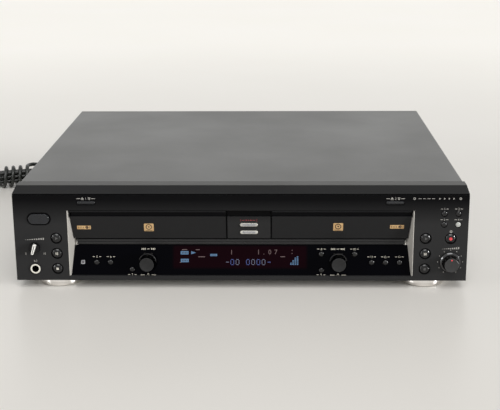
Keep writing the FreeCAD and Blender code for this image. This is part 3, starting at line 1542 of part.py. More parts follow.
def reversed_edge(edge):
    first, last = edge.valueAt(edge.FirstParameter), edge.valueAt(edge.LastParameter)
    middle = edge.valueAt((edge.FirstParameter + edge.LastParameter) / 2)
    if isinstance(edge.Curve, Part.Line):
        return Part.LineSegment(last, first).toShape()
    return Part.Arc(last, middle, first).toShape()


# The cord is swept with a many-sided section, whose corners lie on its round
def tube_along(wire, direction):
    ring = Part.makeCircle(CORD_RADIUS.number, wire.Vertexes[0].Point, direction)
    section = Part.makePolygon(ring.discretize(Number=CORD_SIDES + 1))
    return wire.makePipeShell([section], True, False)


# Length of the tube, and its volume beside that of its section times its length
def print_tube(name, wire, shape):
    area = CORD_SIDES / 2 * CORD_RADIUS.number ** 2 * math.sin(2 * math.pi / CORD_SIDES)
    expected = area * wire.Length
    print(f"{name}: length {wire.Length:.1f}, volume {shape.Volume:.0f}, section times length {expected:.0f}")


def mains_lead():
    points = vectors(lead_route())
    wire, radii = route_wire(points)
    shape = tube_along(wire, (points[1] - points[0]).normalize())
    print_tube("mains lead", wire, shape)
    print("mains lead radii", [round(radius, 1) for radius in radii])
    item = doc.addObject("Part::Feature", "mains_lead")
    item.Shape = shape
    place(item)
    return finished(item)


WRAP_TURNS = 3.5
HANK_LAYERS = 3
ALONG, BACK, SIDE, OTHER_SIDE = Vector(1, 0, 0), Vector(-1, 0, 0), Vector(0, 1, 0), Vector(0, -1, 0)


# The hank in its own axes: lengths of cord to and fro in two columns, drawn in at the waist, where the
# last of the cord is wrapped round them; each pass climbs a layer on its way to the right-hand fold
def hank_stations():
    radius, pitch = CORD_RADIUS.number, S.hank_pitch.number
    column, fold, half = pitch / 2, S.hank_fold_radius.number, S.hank_half.number
    end, neck, entry = half - fold, S.hank_neck_half.number, S.hank_entry.number
    wrap, axis_height = S.wrap_radius.number, radius + S.wrap_radius.number
    waist = [axis_height + pitch * (layer - 1) for layer in range(HANK_LAYERS)]
    left = [radius + pitch * layer for layer in range(HANK_LAYERS)]
    right = [height + pitch for height in left]
    stations = [
        (Vector(entry, column, radius), BACK),
        (Vector(end, column, radius), BACK),
        (Vector(neck, column, waist[0]), BACK),
        (Vector(-neck, column, waist[0]), BACK),
    ]
    for layer in range(HANK_LAYERS):
        stations += [
            (Vector(-end, fold, left[layer]), BACK),
            (Vector(-half, 0, left[layer]), OTHER_SIDE),
            (Vector(-end, -fold, left[layer]), ALONG),
            (Vector(-neck, -column, waist[layer]), ALONG),
            (Vector(neck, -column, waist[layer]), ALONG),
            (Vector(end, -fold, right[layer]), ALONG),
            (Vector(half, 0, right[layer]), SIDE),
            (Vector(end, fold, right[layer]), BACK),
        ]
        if layer + 1 < HANK_LAYERS:
            stations += [
                (Vector(neck, column, waist[layer + 1]), BACK),
                (Vector(-neck, column, waist[layer + 1]), BACK),
            ]
    rise = S.wrap_pitch.number / (2 * math.pi)
    start = S.wrap_pitch.number * WRAP_TURNS / 2
    stations.append((Vector(start + wrap + pitch / 2, wrap, axis_height + wrap - pitch / 8), BACK))
    for quarter in range(int(WRAP_TURNS * 4) + 1):
        turn = quarter * math.pi / 2
        point = Vector(start - rise * turn, -wrap * math.sin(turn), axis_height + wrap * math.cos(turn))
        stations.append((point, Vector(-rise, -wrap * math.cos(turn), -wrap * math.sin(turn)).normalize()))
    side, run, lift = S.tail_side.number, S.tail_run.number, S.plug_thick.number / 2
    stations += [
        (Vector(-run, side, radius), BACK),
        (Vector(-tail_end().number + S.cord_diameter.number * 2, side, lift), BACK),
        (Vector(-tail_end().number, side, lift), BACK),
    ]
    return stations


def tail_end():
    return S.tail_run * 2 + S.cord_diameter * 2


def hank_wire():
    stations = hank_stations()
    edges = []
    for (start, leave), (end, arrive) in zip(stations, stations[1:]):
        edges += biarc(start, leave, end, arrive)
    return Part.Wire(edges)


# The least clear gap between stretches of the hank that lie further apart than a bend along the cord
def least_gap(wire):
    step, bend = CORD_RADIUS.number / 2, 4 * S.cord_diameter.number
    points = wire.discretize(Distance=step)
    skip = round(bend / step)
    least = min(
        (points[i] - points[k]).Length
        for i in range(len(points)) for k in range(i + skip, len(points))
        if abs(points[i].x - points[k].x) < S.cord_diameter.number
    )
    return least - S.cord_diameter.number


def mains_hank():
    wire = hank_wire()
    shape = tube_along(wire, BACK)
    print_tube("mains hank", wire, shape)
    print(f"mains hank: least gap to itself {least_gap(wire):.2f}")
    item = doc.addObject("Part::Feature", "mains_hank")
    item.Shape = shape
    turn_by(item, Vector(0, 0, 1), S.hank_turn)
    place(item, S.hank_place, S.hank_depth, TABLE)
    return finished(item)


# Mains plug: a moulded grip with a short sleeve for the cord and two flat blades, lying on the table
def mains_plug():
    body = new_body("mains_plug")
    rear = -S.plug_sleeve_length
    face = rear - S.plug_body_length
    half, thick = S.plug_body_half, S.plug_thick / 2
    pad(body, "XY_Plane", -thick, thick, outline(
        (rear, -S.plug_rear_half), (rear, S.plug_rear_half),
        (rear - S.plug_body_length / 3, half), (face, half),
        (face, -half), (rear - S.plug_body_length / 3, -half),
    ))
    dress(body, "Fillet", S.plug_edge,
          lambda edge, middle: near(abs(middle.z), thick) and not near(middle.x, face))
    sketch = new_sketch(body, "XZ_Plane", ZERO)
    sleeve_outline = outline(
        (ZERO, ZERO), (ZERO, S.plug_sleeve_radius), (rear, S.plug_sleeve_root_radius), (rear, ZERO))
    sleeve_outline(sketch)
    feature = body.newObject("PartDesign::Revolution", "mains_plug_sleeve")
    feature.Profile = sketch
    feature.ReferenceAxis = (sketch, ["H_Axis"])
    feature.Angle = FULL_TURN
    doc.recompute()
    blade, wall = S.plug_blade_half, S.plug_blade_wall / 2
    for side in (-1, 1):
        across = S.plug_blade_pitch / 2 * side
        pad(body, "YZ_Plane", face - S.plug_blade_length, face,
            rectangle(across - wall, across + wall, -blade, blade))
    turn_by(body, Vector(0, 0, 1), S.hank_turn)
    place(body, *from_hank(-tail_end(), S.tail_side, thick))
    return finished(body)


front_panel()
recess_trims()
display_window()
top_cover()
base_chassis()
rear_panel()
screws()
feet()
for side in DECKS:
    tray_door(side)
    tray(side)
    deck_frame(side)
    pickup_chassis(side)
    turntable(side)
    pickup(side)
    jog_knob(side)
    jog_plunger(side)
clampers()
buttons()
phone_level_knob()
record_level_knob()
phones_jack()
circuit_boards()
power_transformer()
rear_sockets()
cord_bush()
mains_lead()
mains_hank()
mains_plug()
doc.recompute()

for item in doc.Objects:
    if "Invalid" in item.State or "Error" in item.State:
        raise RuntimeError(f"{item.Label} is {item.State}")
for item in SUBPARTS:
    if item.Shape.isNull() or not item.Shape.isValid():
        raise RuntimeError(f"{item.Label} has no valid shape")

os.makedirs("parts", exist_ok=True)
for item in SUBPARTS:
    item.Shape.exportStep(f"parts/{item.Label}.step")
print(len(SUBPARTS), "sub-parts written")
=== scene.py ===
import bmesh
import bpy
import math
from mathutils import Matrix, Vector


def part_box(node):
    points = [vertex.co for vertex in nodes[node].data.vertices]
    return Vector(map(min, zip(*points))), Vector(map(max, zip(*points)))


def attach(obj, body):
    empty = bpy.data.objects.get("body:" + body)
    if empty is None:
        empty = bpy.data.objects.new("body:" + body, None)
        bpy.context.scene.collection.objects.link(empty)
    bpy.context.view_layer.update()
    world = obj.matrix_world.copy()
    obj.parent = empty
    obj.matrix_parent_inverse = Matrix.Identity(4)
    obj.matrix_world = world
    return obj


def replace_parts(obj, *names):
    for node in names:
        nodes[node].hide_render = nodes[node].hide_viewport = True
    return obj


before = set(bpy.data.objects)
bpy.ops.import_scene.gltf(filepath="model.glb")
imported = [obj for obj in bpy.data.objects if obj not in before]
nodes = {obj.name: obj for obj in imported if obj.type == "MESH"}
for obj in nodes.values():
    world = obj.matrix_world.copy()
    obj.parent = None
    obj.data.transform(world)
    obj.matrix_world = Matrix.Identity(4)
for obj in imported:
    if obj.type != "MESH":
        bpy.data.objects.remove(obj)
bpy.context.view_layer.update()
MM = 0.001

# STEEL CASE
# The chassis is folded from zinc-plated steel sheet, which keeps a faint spangle and the streaks of rolling.
# The rear panel is flat steel, painted like the cover and screwed to it. The chassis carries what is inside.


def new_material(name, colour, roughness, metallic=0.0, specular=0.5):
    material = bpy.data.materials.new(name)
    material.use_nodes = True
    for socket, value in (("Base Color", (*colour, 1.0)), ("Roughness", roughness), ("Metallic", metallic),
                          ("Specular IOR Level", specular)):
        shader_of(material).inputs[socket].default_value = value
    return material


def shader_of(material):
    return material.node_tree.nodes["Principled BSDF"]


def drive(material, socket, output):
    material.node_tree.links.new(output, shader_of(material).inputs[socket])


# A new node's output; each input is given a value, or another node's output to be linked to
def made(material, kind, inputs, output=0, **settings):
    node = material.node_tree.nodes.new("ShaderNode" + kind)
    for name, value in settings.items():
        setattr(node, name, value)
    for place, value in inputs.items():
        if isinstance(value, bpy.types.NodeSocket):
            material.node_tree.links.new(value, node.inputs[place])
        else:
            node.inputs[place].default_value = value
    return node.outputs[output]


def own_places(material):
    return made(material, "TexCoord", {}, "Object")


# Noise on the piece's own coordinates; it runs in streaks along an axis whose stretch is small
def grain(material, scale, stretch, detail):
    places = made(material, "Mapping", {"Vector": own_places(material), "Scale": stretch})
    return made(material, "TexNoise", {"Vector": places, "Scale": scale, "Detail": detail}, "Fac")


# A number spread from one span over another
def spread(material, value, source, target=(0.0, 1.0)):
    return made(material, "MapRange", {"Value": value, "From Min": source[0], "From Max": source[1],
                                       "To Min": target[0], "To Max": target[1]})


EVEN = (1.0, 1.0, 1.0)
GRAIN_SPAN = (0.3, 0.7)


# The grain read as a colour between a dark and a light tone
def tint(material, scale, dark, light, stretch=EVEN, detail=3.0):
    ramp = material.node_tree.nodes.new("ShaderNodeValToRGB")
    for element, place, tone in zip(ramp.color_ramp.elements, GRAIN_SPAN, (dark, light)):
        element.position, element.color = place, (*tone, 1.0)
    material.node_tree.links.new(grain(material, scale, stretch, detail), ramp.inputs["Fac"])
    drive(material, "Base Color", ramp.outputs["Color"])
    return ramp.outputs["Color"]


# The grain read as roughness, as handling and cleaning leave it
def polish(material, scale, smooth, rough, stretch=EVEN, detail=3.0):
    pattern = grain(material, scale, stretch, detail)
    drive(material, "Roughness", spread(material, pattern, GRAIN_SPAN, (smooth, rough)))


# The grain read as relief of a real depth in metres, over edges softened by a real radius
def relief(material, scale, depth, edge=0.0, stretch=EVEN, detail=3.0):
    inputs = {"Height": grain(material, scale, stretch, detail), "Distance": depth}
    if edge:
        inputs["Normal"] = made(material, "Bevel", {"Radius": edge})
    drive(material, "Normal", made(material, "Bump", inputs))


def dress(material, *names):
    for name in names:
        nodes[name].data.materials.clear()
        nodes[name].data.materials.append(material)


zinc = new_material("zinc_plated_steel", (0.42, 0.43, 0.43), 0.4, metallic=1.0)
tint(zinc, 90.0, (0.36, 0.37, 0.38), (0.52, 0.53, 0.52), detail=5.0)
polish(zinc, 40.0, 0.34, 0.5, stretch=(0.05, 1.0, 1.0))
relief(zinc, 900.0, 0.00001, edge=0.0003, stretch=(0.04, 1.0, 1.0))
dress(zinc, "base_chassis")


# Satin black stove paint: a fine orange peel, duller where hands and dusters have been
def stove_paint(name, colour, specular):
    paint = new_material(name, colour, 0.4, specular=specular)
    polish(paint, 9.0, 0.33, 0.43, detail=6.0)
    relief(paint, 1600.0, 0.000012, edge=0.0005, detail=1.0)
    return paint


dress(stove_paint("rear_panel_paint", (0.016, 0.016, 0.017), 0.4), "rear_panel")

# COVER SCREWS
# Eight black zinc screws hold the cover: four through its rear tabs and two through each side.
# Each has a low domed head with a cross slot; heads and shanks are turned, and the slots are driven in.
screw_head, screw_rise, screw_shank, screw_length = 3.4 * MM, 1.0 * MM, 1.5 * MM, 6.0 * MM
slot_reach, slot_half, slot_deep, slot_rise = 1.9 * MM, 0.35 * MM, 0.45 * MM, 0.8 * MM


def tilted(degrees, axis):
    return Matrix.Rotation(math.radians(degrees), 4, axis)


# A profile of (radius, station) pairs turned a full circle about the Z axis
def turned(profile, steps):
    mesh = bmesh.new()
    line = [mesh.verts.new((radius, 0.0, station)) for radius, station in profile]
    edges = [mesh.edges.new(pair) for pair in zip(line, line[1:])]
    bmesh.ops.spin(mesh, geom=line + edges, cent=(0, 0, 0), axis=(0, 0, 1),
                   angle=2 * math.pi, steps=steps, use_merge=True)
    bmesh.ops.remove_doubles(mesh, verts=mesh.verts, dist=0.00001)
    bmesh.ops.recalc_face_normals(mesh, faces=mesh.faces)
    for facet in mesh.faces:
        facet.smooth = True
    return mesh


def shown(name, data):
    item = bpy.data.objects.new(name, data)
    bpy.context.scene.collection.objects.link(item)
    return item


# A finished piece: its mesh becomes an object at the origin, with its material and its body
def piece(name, mesh, material, body, sharp=math.radians(35)):
    data = bpy.data.meshes.new(name)
    for edge in mesh.edges:
        if len(edge.link_faces) == 2 and edge.calc_face_angle(0.0) > sharp:
            edge.smooth = False
    mesh.to_mesh(data)
    mesh.free()
    data.materials.append(material)
    item = shown(name, data)
    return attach(item, body)


def take_in(mesh, other, place):
    holder = bpy.data.meshes.new("holder")
    bmesh.ops.transform(other, matrix=place, verts=other.verts)
    other.to_mesh(holder)
    other.free()
    mesh.from_mesh(holder)
    bpy.data.meshes.remove(holder)


def screw():
    dome = turned([
        (0.0, screw_rise), (screw_head * 0.45, screw_rise * 0.95), (screw_head * 0.8, screw_rise * 0.7),
        (screw_head, screw_rise * 0.25), (screw_head, 0.0), (screw_shank, 0.0),
        (screw_shank, -screw_length), (0.0, -screw_length)], 24)
    for turn in (0, 90):
        slot = bmesh.new()
        bmesh.ops.create_cube(slot, size=1.0)
        bmesh.ops.scale(slot, vec=(slot_reach * 2, slot_half * 2, slot_deep), verts=slot.verts)
        take_in(dome, slot, Matrix.Translation((0, 0, slot_rise)) @ tilted(turn, "Z"))
    return dome


black_zinc = new_material("black_zinc", (0.05, 0.05, 0.052), 0.3, metallic=0.8)
tint(black_zinc, 500.0, (0.03, 0.03, 0.032), (0.08, 0.08, 0.085))
relief(black_zinc, 2500.0, 0.00001)

side_x, rear, cover_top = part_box("top_cover")[1]
face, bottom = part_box("front_panel")[0].y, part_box("front_panel")[0].z
tab_drop, side_screw_rise = 5.5 * MM, 14.0 * MM
screw_set = bmesh.new()
for across in (-188.5, -64.0, 64.0, 188.5):
    seat = Matrix.Translation((across * MM, rear, cover_top - tab_drop))
    take_in(screw_set, screw(), seat @ tilted(-90, "X"))
for side in (-1, 1):
    for depth in (95.0, 330.0):
        seat = Matrix.Translation((side * side_x, face + depth * MM, bottom + side_screw_rise))
        take_in(screw_set, screw(), seat @ tilted(90 * side, "Y"))
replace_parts(piece("cover_screws", screw_set, black_zinc, "root"), "screws")

# FEET
# Four broad feet turned from aluminium, bright all round, each with a dark felt pad glued under it.
# The turning tool has left fine lines round the rim.
ACROSS, DEEP, UP = (1.0, 0.0, 0.0), (0.0, 1.0, 0.0), (0.0, 0.0, 1.0)


# A step from 0 to 1 across a plane, given by the direction it faces and its distance in metres
def beyond(material, direction, distance, soft=0.00005):
    along = made(material, "VectorMath", {0: own_places(material), 1: direction}, "Value",
                 operation="DOT_PRODUCT")
    return spread(material, along, (distance - soft, distance + soft))


def combined(material, operation, first, second):
    return made(material, "Math", {0: first, 1: second}, operation=operation)


def both(material, first, second):
    return combined(material, "MULTIPLY", first, second)


# A mask of the space between two planes that face one way
def between(material, direction, low, high, soft=0.00005):
    near, far = beyond(material, direction, low, soft), beyond(material, direction, high, soft)
    return combined(material, "SUBTRACT", near, far)


# The same in several directions at once, with distances in millimetres
def within(material, spans, soft=0.00005):
    inside = None
    for direction, (low, high) in spans.items():
        mask = between(material, direction, low * MM, high * MM, soft)
        inside = both(material, inside, mask) if inside else mask
    return inside


# Two tones of one piece, told apart by a mask; each is a colour or another pattern's output
def two_tone(material, mask, first, second):
    first, second = [(*tone, 1.0) if isinstance(tone, tuple) else tone for tone in (first, second)]
    mixed = made(material, "Mix", {0: mask, 6: first, 7: second}, 2, data_type="RGBA")
    drive(material, "Base Color", mixed)
    return mixed


# The mask read as a number between two values
def two_way(material, mask, socket, first=0.0, second=1.0):
    drive(material, socket, spread(material, mask, (0.0, 1.0), (first, second)))


pad_thick = 0.3 * MM
foot_metal = new_material("turned_aluminium", (0.6, 0.58, 0.56), 0.2, metallic=1.0)
turned_lines = tint(foot_metal, 30.0, (0.66, 0.62, 0.59), (0.88, 0.86, 0.83), stretch=(0.3, 0.3, 40.0))
above_pad = beyond(foot_metal, UP, pad_thick)
two_tone(foot_metal, above_pad, (0.02, 0.02, 0.02), turned_lines)
two_way(foot_metal, above_pad, "Metallic")
polish(foot_metal, 60.0, 0.12, 0.2)
relief(foot_metal, 20.0, 0.00003, edge=0.0003, stretch=(0.5, 0.5, 150.0))


def in_metres(profile):
    return [(radius * MM, station * MM) for radius, station in profile]


foot_across = 177.0 * MM
foot_profile = [
    (0.0, 9.0), (20.6, 9.0), (20.9, 8.6), (21.2, 7.6), (21.5, 6.5), (21.7, 5.2), (21.8, 3.8), (21.8, 2.6),
    (21.7, 1.6), (21.5, 0.9), (21.3, 0.5), (21.0, 0.35), (20.5, 0.35), (20.5, 0.0), (0.0, 0.0)]
foot_set = bmesh.new()
for side in (-1, 1):
    for depth in (28.5, 345.0):
        take_in(foot_set, turned(in_metres(foot_profile), 72),
                Matrix.Translation((side * foot_across, face + depth * MM, 0.0)))
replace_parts(piece("turned_feet", foot_set, foot_metal, "root"), "feet")

# INSIDE THE CASE
# Two lacquered boards carry the electronics, with black capacitors and a black heat sink on the main one.
# The transformer is a stack of varnished laminations round a taped winding, bolted to the chassis.
board = new_material("lacquered_board", (0.03, 0.12, 0.05), 0.3)
lacquer = tint(board, 260.0, (0.015, 0.07, 0.03), (0.06, 0.2, 0.09), detail=0.0)
board_top, main_board_from, front_board_to = 17.8 * MM, face + 100.0 * MM, face + 21.9 * MM
tall_parts = both(board, beyond(board, UP, board_top), beyond(board, DEEP, main_board_from))
fitted = two_tone(board, tall_parts, lacquer, (0.02, 0.02, 0.024))
two_tone(board, beyond(board, DEEP, front_board_to), (0.015, 0.02, 0.022), fitted)
relief(board, 700.0, 0.00003, edge=0.0003)
dress(board, "circuit_boards")

laminations = new_material("varnished_laminations", (0.12, 0.09, 0.07), 0.45, metallic=0.3)
tint(laminations, 12.0, (0.06, 0.05, 0.045), (0.2, 0.15, 0.11), stretch=(0.2, 120.0, 0.2))
relief(laminations, 12.0, 0.00015, stretch=(0.2, 120.0, 0.2))
dress(laminations, "power_transformer")

# DISC DRIVES
# Each deck is a black moulding with a bridge over the disc, and in it hangs a steel chassis on two rear pins.
# The chassis carries the disc motor with its turntable, and the pickup on its two bright guide rods.
moulding = new_material("deck_moulding", (0.03, 0.03, 0.031), 0.5)
polish(moulding, 30.0, 0.42, 0.58)
relief(moulding, 1200.0, 0.00002, edge=0.0004, detail=1.0)
dress(moulding, "deck_frame_left", "deck_frame_right", "clampers")

pickup_black = new_material("pickup_moulding", (0.03, 0.03, 0.031), 0.4)
lens = beyond(pickup_black, UP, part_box("pickup_left")[1].z - 0.75 * MM)
two_tone(pickup_black, lens, (0.03, 0.03, 0.031), (0.08, 0.1, 0.2))
two_way(pickup_black, lens, "Roughness", 0.45, 0.05)
relief(pickup_black, 1200.0, 0.00001, edge=0.0004, detail=1.0)
dress(pickup_black, "pickup_left", "pickup_right")

bright_steel = new_material("bright_steel", (0.5, 0.5, 0.51), 0.3, metallic=1.0)
tint(bright_steel, 50.0, (0.42, 0.42, 0.43), (0.6, 0.6, 0.6), stretch=(1.0, 0.1, 1.0))
polish(bright_steel, 200.0, 0.24, 0.4, stretch=(0.1, 1.0, 1.0))
relief(bright_steel, 1500.0, 0.000008, edge=0.0003, stretch=(1.0, 0.06, 1.0))
dress(bright_steel, "pickup_chassis_left", "pickup_chassis_right", "jog_plunger_left", "jog_plunger_right")

turntable_cap = new_material("turntable_cap", (0.02, 0.02, 0.021), 0.6)
polish(turntable_cap, 90.0, 0.5, 0.7)
relief(turntable_cap, 2000.0, 0.00003, edge=0.0003)
dress(turntable_cap, "turntable_left", "turntable_right")

# TRAYS AND DOORS
# The trays are fine-grained black mouldings with stepped seats for large and small discs.
# Each carries its own leaning door, a satin black moulding with a thin rim over a band painted near black as
# the shade under the rim, and with its inner end painted near black as the shade of the gap beside it. On the
# door a gold plate with the drive's number and a plain disc sign are printed in foil.
tray_plastic = new_material("tray_plastic", (0.022, 0.022, 0.023), 0.45)
polish(tray_plastic, 25.0, 0.38, 0.52, detail=6.0)
relief(tray_plastic, 1400.0, 0.00002, edge=0.0004, detail=1.0)
dress(tray_plastic, "tray_left", "tray_right")


# Satin black moulding of the whole front, with the fine texture of its tool
def front_moulding(name, colour, specular, smooth, rough):
    moulding = new_material(name, colour, smooth, specular=specular)
    polish(moulding, 14.0, smooth, rough, detail=6.0)
    relief(moulding, 1800.0, 0.000012, edge=0.0007, detail=1.0)
    return moulding


door = front_moulding("door_moulding", (0.016, 0.016, 0.0165), 0.08, 0.34, 0.46)
band_from, band_depth, rim_from, end_width = 71.9 * MM, face + 3.4 * MM, 77.1 * MM, 0.7 * MM
# The band under the door's rim is painted near black: painted shade under the rim.
band = both(door, beyond(door, UP, band_from), beyond(door, DEEP, band_depth))
door_tone = two_tone(door, band, (0.016, 0.016, 0.0165), (0.0006, 0.0006, 0.0012))
door_tone = two_tone(door, beyond(door, UP, rim_from), door_tone, (0.015, 0.015, 0.0165))
# The door's inner end is painted near black: painted shade in the gap to the centre block.
painted_gap_shade_ends = between(door, ACROSS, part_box("tray_door_left")[1].x - end_width,
                     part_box("tray_door_right")[0].x + end_width)
two_tone(door, painted_gap_shade_ends, door_tone, (0.0008, 0.0008, 0.001))
dress(door, "tray_door_left", "tray_door_right")


# Flat signs are drawn in millimetres, across and up from the table, and then laid on the front
def at(across, up):
    return Matrix.Translation((across, up, 0))


def square(sign, place):
    return bmesh.ops.create_grid(sign, x_segments=1, y_segments=1, size=0.5, matrix=place)


def bar(sign, across, up, length, height, tilt=0.0):
    square(sign, at(across, up) @ tilted(tilt, "Z") @ Matrix.Diagonal((length, height, 1, 1)))


def disc(sign, across, up, radius, corners=24):
    bmesh.ops.create_circle(sign, cap_ends=True, segments=corners, radius=radius, matrix=at(across, up))


def ring(sign, across, up, outer, inner):
    circles = [bmesh.ops.create_circle(sign, segments=32, radius=radius, matrix=at(across, up))
               for radius in (outer, inner)]
    rims = {edge for circle in circles for vertex in circle["verts"] for edge in vertex.link_edges}
    bmesh.ops.bridge_loops(sign, edges=list(rims))


# A triangle that points to the right, or elsewhere by its turn
def arrow(sign, across, up, length, height, turn=0.0):
    shape = Matrix.Diagonal((length / 1.5, height / math.sqrt(3), 1, 1)) @ tilted(-90, "Z")
    bmesh.ops.create_circle(sign, cap_ends=True, segments=3, radius=1.0,
                            matrix=at(across, up) @ tilted(turn, "Z") @ shape)


# A bar with round corners
def plate(sign, across, up, length, height, corner):
    grid = square(sign, at(across, up) @ Matrix.Diagonal((length, height, 1, 1)))
    bmesh.ops.bevel(sign, geom=grid["verts"], affect="VERTICES", offset=corner, segments=6, profile=0.5,
                    material=-1)


# Plain numbers, as tall as given, with their middle at the place
def number(sign, figures, across, up, height):
    curve = bpy.data.curves.new("figures", "FONT")
    curve.body, curve.size, curve.resolution_u = figures, 1.0, 3
    holder = bpy.data.objects.new("figures", curve)
    flat = bpy.data.meshes.new_from_object(holder)
    (left, right), (foot, top) = [
        [end(vertex.co[axis] for vertex in flat.vertices) for end in (min, max)] for axis in (0, 1)]
    grown = Matrix.Scale(height / (top - foot), 4)
    flat.transform(at(across, up) @ grown @ at(-(left + right) / 2, -(foot + top) / 2))
    sign.from_mesh(flat)
    bpy.data.objects.remove(holder)
    bpy.data.meshes.remove(flat)
    bpy.data.curves.remove(curve)


def on_door(up):
    return 9.4 - (up - 48.2) * 0.2735


# The print is a thin skin, half sunk into what it is printed on, at one depth or at a depth for each height
def printed(name, sign, depth, material, body="root", proud=0.04):
    for vertex in sign.verts:
        across, up = vertex.co.x, vertex.co.y
        behind = depth(up) if callable(depth) else depth
        vertex.co = (across * MM, face + (behind - proud) * MM, up * MM)
    sheet = piece(name, sign, material, body)
    skin = sheet.modifiers.new("thickness", "SOLIDIFY")
    skin.thickness, skin.offset = 2 * proud * MM, -1.0
    return sheet


# A finish for flat signs: even but for a grain between two tones
def ink(name, colour, roughness, scale, dark, light, specular=0.5):
    material = new_material(name, colour, roughness, specular=specular)
    tint(material, scale, dark, light)
    return material


gold_foil = new_material("gold_foil", (0.75, 0.5, 0.24), 0.38, metallic=0.45)
tint(gold_foil, 260.0, (0.52, 0.32, 0.14), (0.7, 0.48, 0.24))
foil_print = ink("print_on_foil", (0.05, 0.02, 0.008), 0.5, 400.0, (0.015, 0.006, 0.004), (0.04, 0.015, 0.008))
for side, figure, plate_at, plate_up, disc_at, disc_up in (
        ("left", "1", -149.2, 60.0, -87.2, 60.1), ("right", "2", 148.6, 60.9, 92.9, 60.7)):
    gold, dark, light = bmesh.new(), bmesh.new(), bmesh.new()
    plate(gold, plate_at, plate_up, 13.2, 3.8, 0.45)
    plate(gold, disc_at, disc_up, 9.3, 8.2, 0.8)
    printed("door_plates_" + side, gold, on_door, gold_foil, "drawer_" + side)
    for step in (-5.2, -3.6, -2.0, -0.4):
        bar(dark, plate_at + step, plate_up, 0.5, 2.0)
    disc(dark, plate_at + 2.8, plate_up, 1.55)
    bar(dark, plate_at + 5.6, plate_up, 0.6, 2.0)
    ring(dark, disc_at, disc_up + 0.5, 2.9, 2.2)
    disc(dark, disc_at, disc_up + 0.5, 0.8)
    bar(dark, disc_at, disc_up - 3.4, 6.6, 0.5)
    printed("door_signs_" + side, dark, on_door, foil_print, "drawer_" + side, proud=0.07)
    number(light, figure, plate_at + 2.8, plate_up, 1.9)
    printed("door_number_" + side, light, on_door, gold_foil, "drawer_" + side, proud=0.1)

# FRONT PANEL
# A satin black moulding with a bevelled top edge, a shadow groove and the long recess of doors and window.
# The groove and the band over the centre block are painted near black as shade, the upper face is painted
# darker as shade, and the flat strip along the top is painted pale grey as a painted reflection.
# Its button holes have shallow rings sunk round them, and satin silver wedges trim the ends of the recess;
# near its top, deeper than the face, the wedges are painted near black as shade.
# Plain numbers and signs are printed over the buttons in pale grey, and one in red on the centre block.
panel = front_moulding("panel_moulding", (0.022, 0.022, 0.0225), 0.07, 0.3, 0.4)
face_mm = face / MM
# The band over the centre block is painted near black: painted shade, as on the doors.
painted_shade_block_band = within(panel, {ACROSS: (-12.4, 28.8), UP: (71.9, 77.9), DEEP: (face_mm + 3.4, face_mm + 5.5)})
panel_tone = tint(panel, 6.0, (0.0215, 0.0215, 0.022), (0.0245, 0.0245, 0.025))
# The upper face is painted darker, as painted shade; the flat top strip is painted pale grey, as a painted
# reflection.
painted_shade_upper_face, painted_reflection_top_strip = beyond(panel, UP, 77.0 * MM, 12.0 * MM), beyond(panel, UP, 98.2 * MM)
panel_tone = two_tone(panel, painted_shade_upper_face, panel_tone, (0.0015, 0.0015, 0.002))
panel_tone = two_tone(panel, painted_reflection_top_strip, panel_tone, (0.085, 0.085, 0.082))
# The groove under the bevel is painted near black: painted shade.
groove = within(panel, {UP: (93.3, 94.45), DEEP: (face_mm + 0.2, face_mm + 3.0)})
two_tone(panel, combined(panel, "ADD", painted_shade_block_band, groove), panel_tone, (0.0006, 0.0006, 0.001))
dress(panel, "front_panel")

rail_half = 157.2 * MM
rail_profile = [
    (12.4, 41.5), (11.3, 41.7), (11.0, 42.1), (10.8, 43.6), (11.6, 43.8), (11.6, 44.5), (10.7, 44.7),
    (10.5, 46.3), (10.9, 46.8), (15.9, 46.8), (15.9, 44.7)]


# A solid drawn out along a vector from a flat outline, which is given by its corners
def drawn_out(corners, along):
    solid = bmesh.new()
    outline = solid.faces.new([solid.verts.new(corner) for corner in corners])
    raised = bmesh.ops.extrude_face_region(solid, geom=[outline])
    bmesh.ops.translate(solid, vec=along,
                        verts=[item for item in raised["geom"] if isinstance(item, bmesh.types.BMVert)])
    bmesh.ops.recalc_face_normals(solid, faces=solid.faces)
    return solid


rail = drawn_out([(-rail_half, face + depth * MM, up * MM) for depth, up in rail_profile],
                 (2 * rail_half, 0, 0))
rail_finish = front_moulding("rail_moulding", (0.018, 0.018, 0.0185), 0.26, 0.28, 0.38)
piece("recess_rail", rail, rail_finish, "root")

trim = new_material("trim_silver", (0.56, 0.54, 0.5), 0.4, metallic=0.25)
brushed = tint(trim, 30.0, (0.52, 0.5, 0.46), (0.6, 0.58, 0.54), stretch=(1.0, 1.0, 0.1))
# The wedges' upper inner part is painted near black: painted shade at the top of the recess.
painted_trim_shade = both(trim, beyond(trim, UP, 71.0 * MM), beyond(trim, DEEP, face + 2.0 * MM))
two_tone(trim, painted_trim_shade, brushed, (0.01, 0.01, 0.01))
polish(trim, 90.0, 0.34, 0.46)
relief(trim, 1200.0, 0.00001, edge=0.0003, stretch=(1.0, 1.0, 0.05))
dress(trim, "recess_trims")

print_grey = ink("printed_grey", (0.34, 0.33, 0.3), 0.5, 700.0, (0.28, 0.27, 0.25), (0.42, 0.41, 0.38))
print_red = ink("printed_red", (0.24, 0.02, 0.025), 0.5, 700.0, (0.18, 0.015, 0.02), (0.3, 0.03, 0.035))


# A level sign: a wedge that grows to the right
def level_sign(sign, across, up, length, height):
    steps = 9
    for step in range(steps):
        grown = height * (step + 1) / steps
        place = across + length * (step / (steps - 1) - 0.5)
        bar(sign, place, up - (height - grown) / 2, length / steps * 0.62, grown)


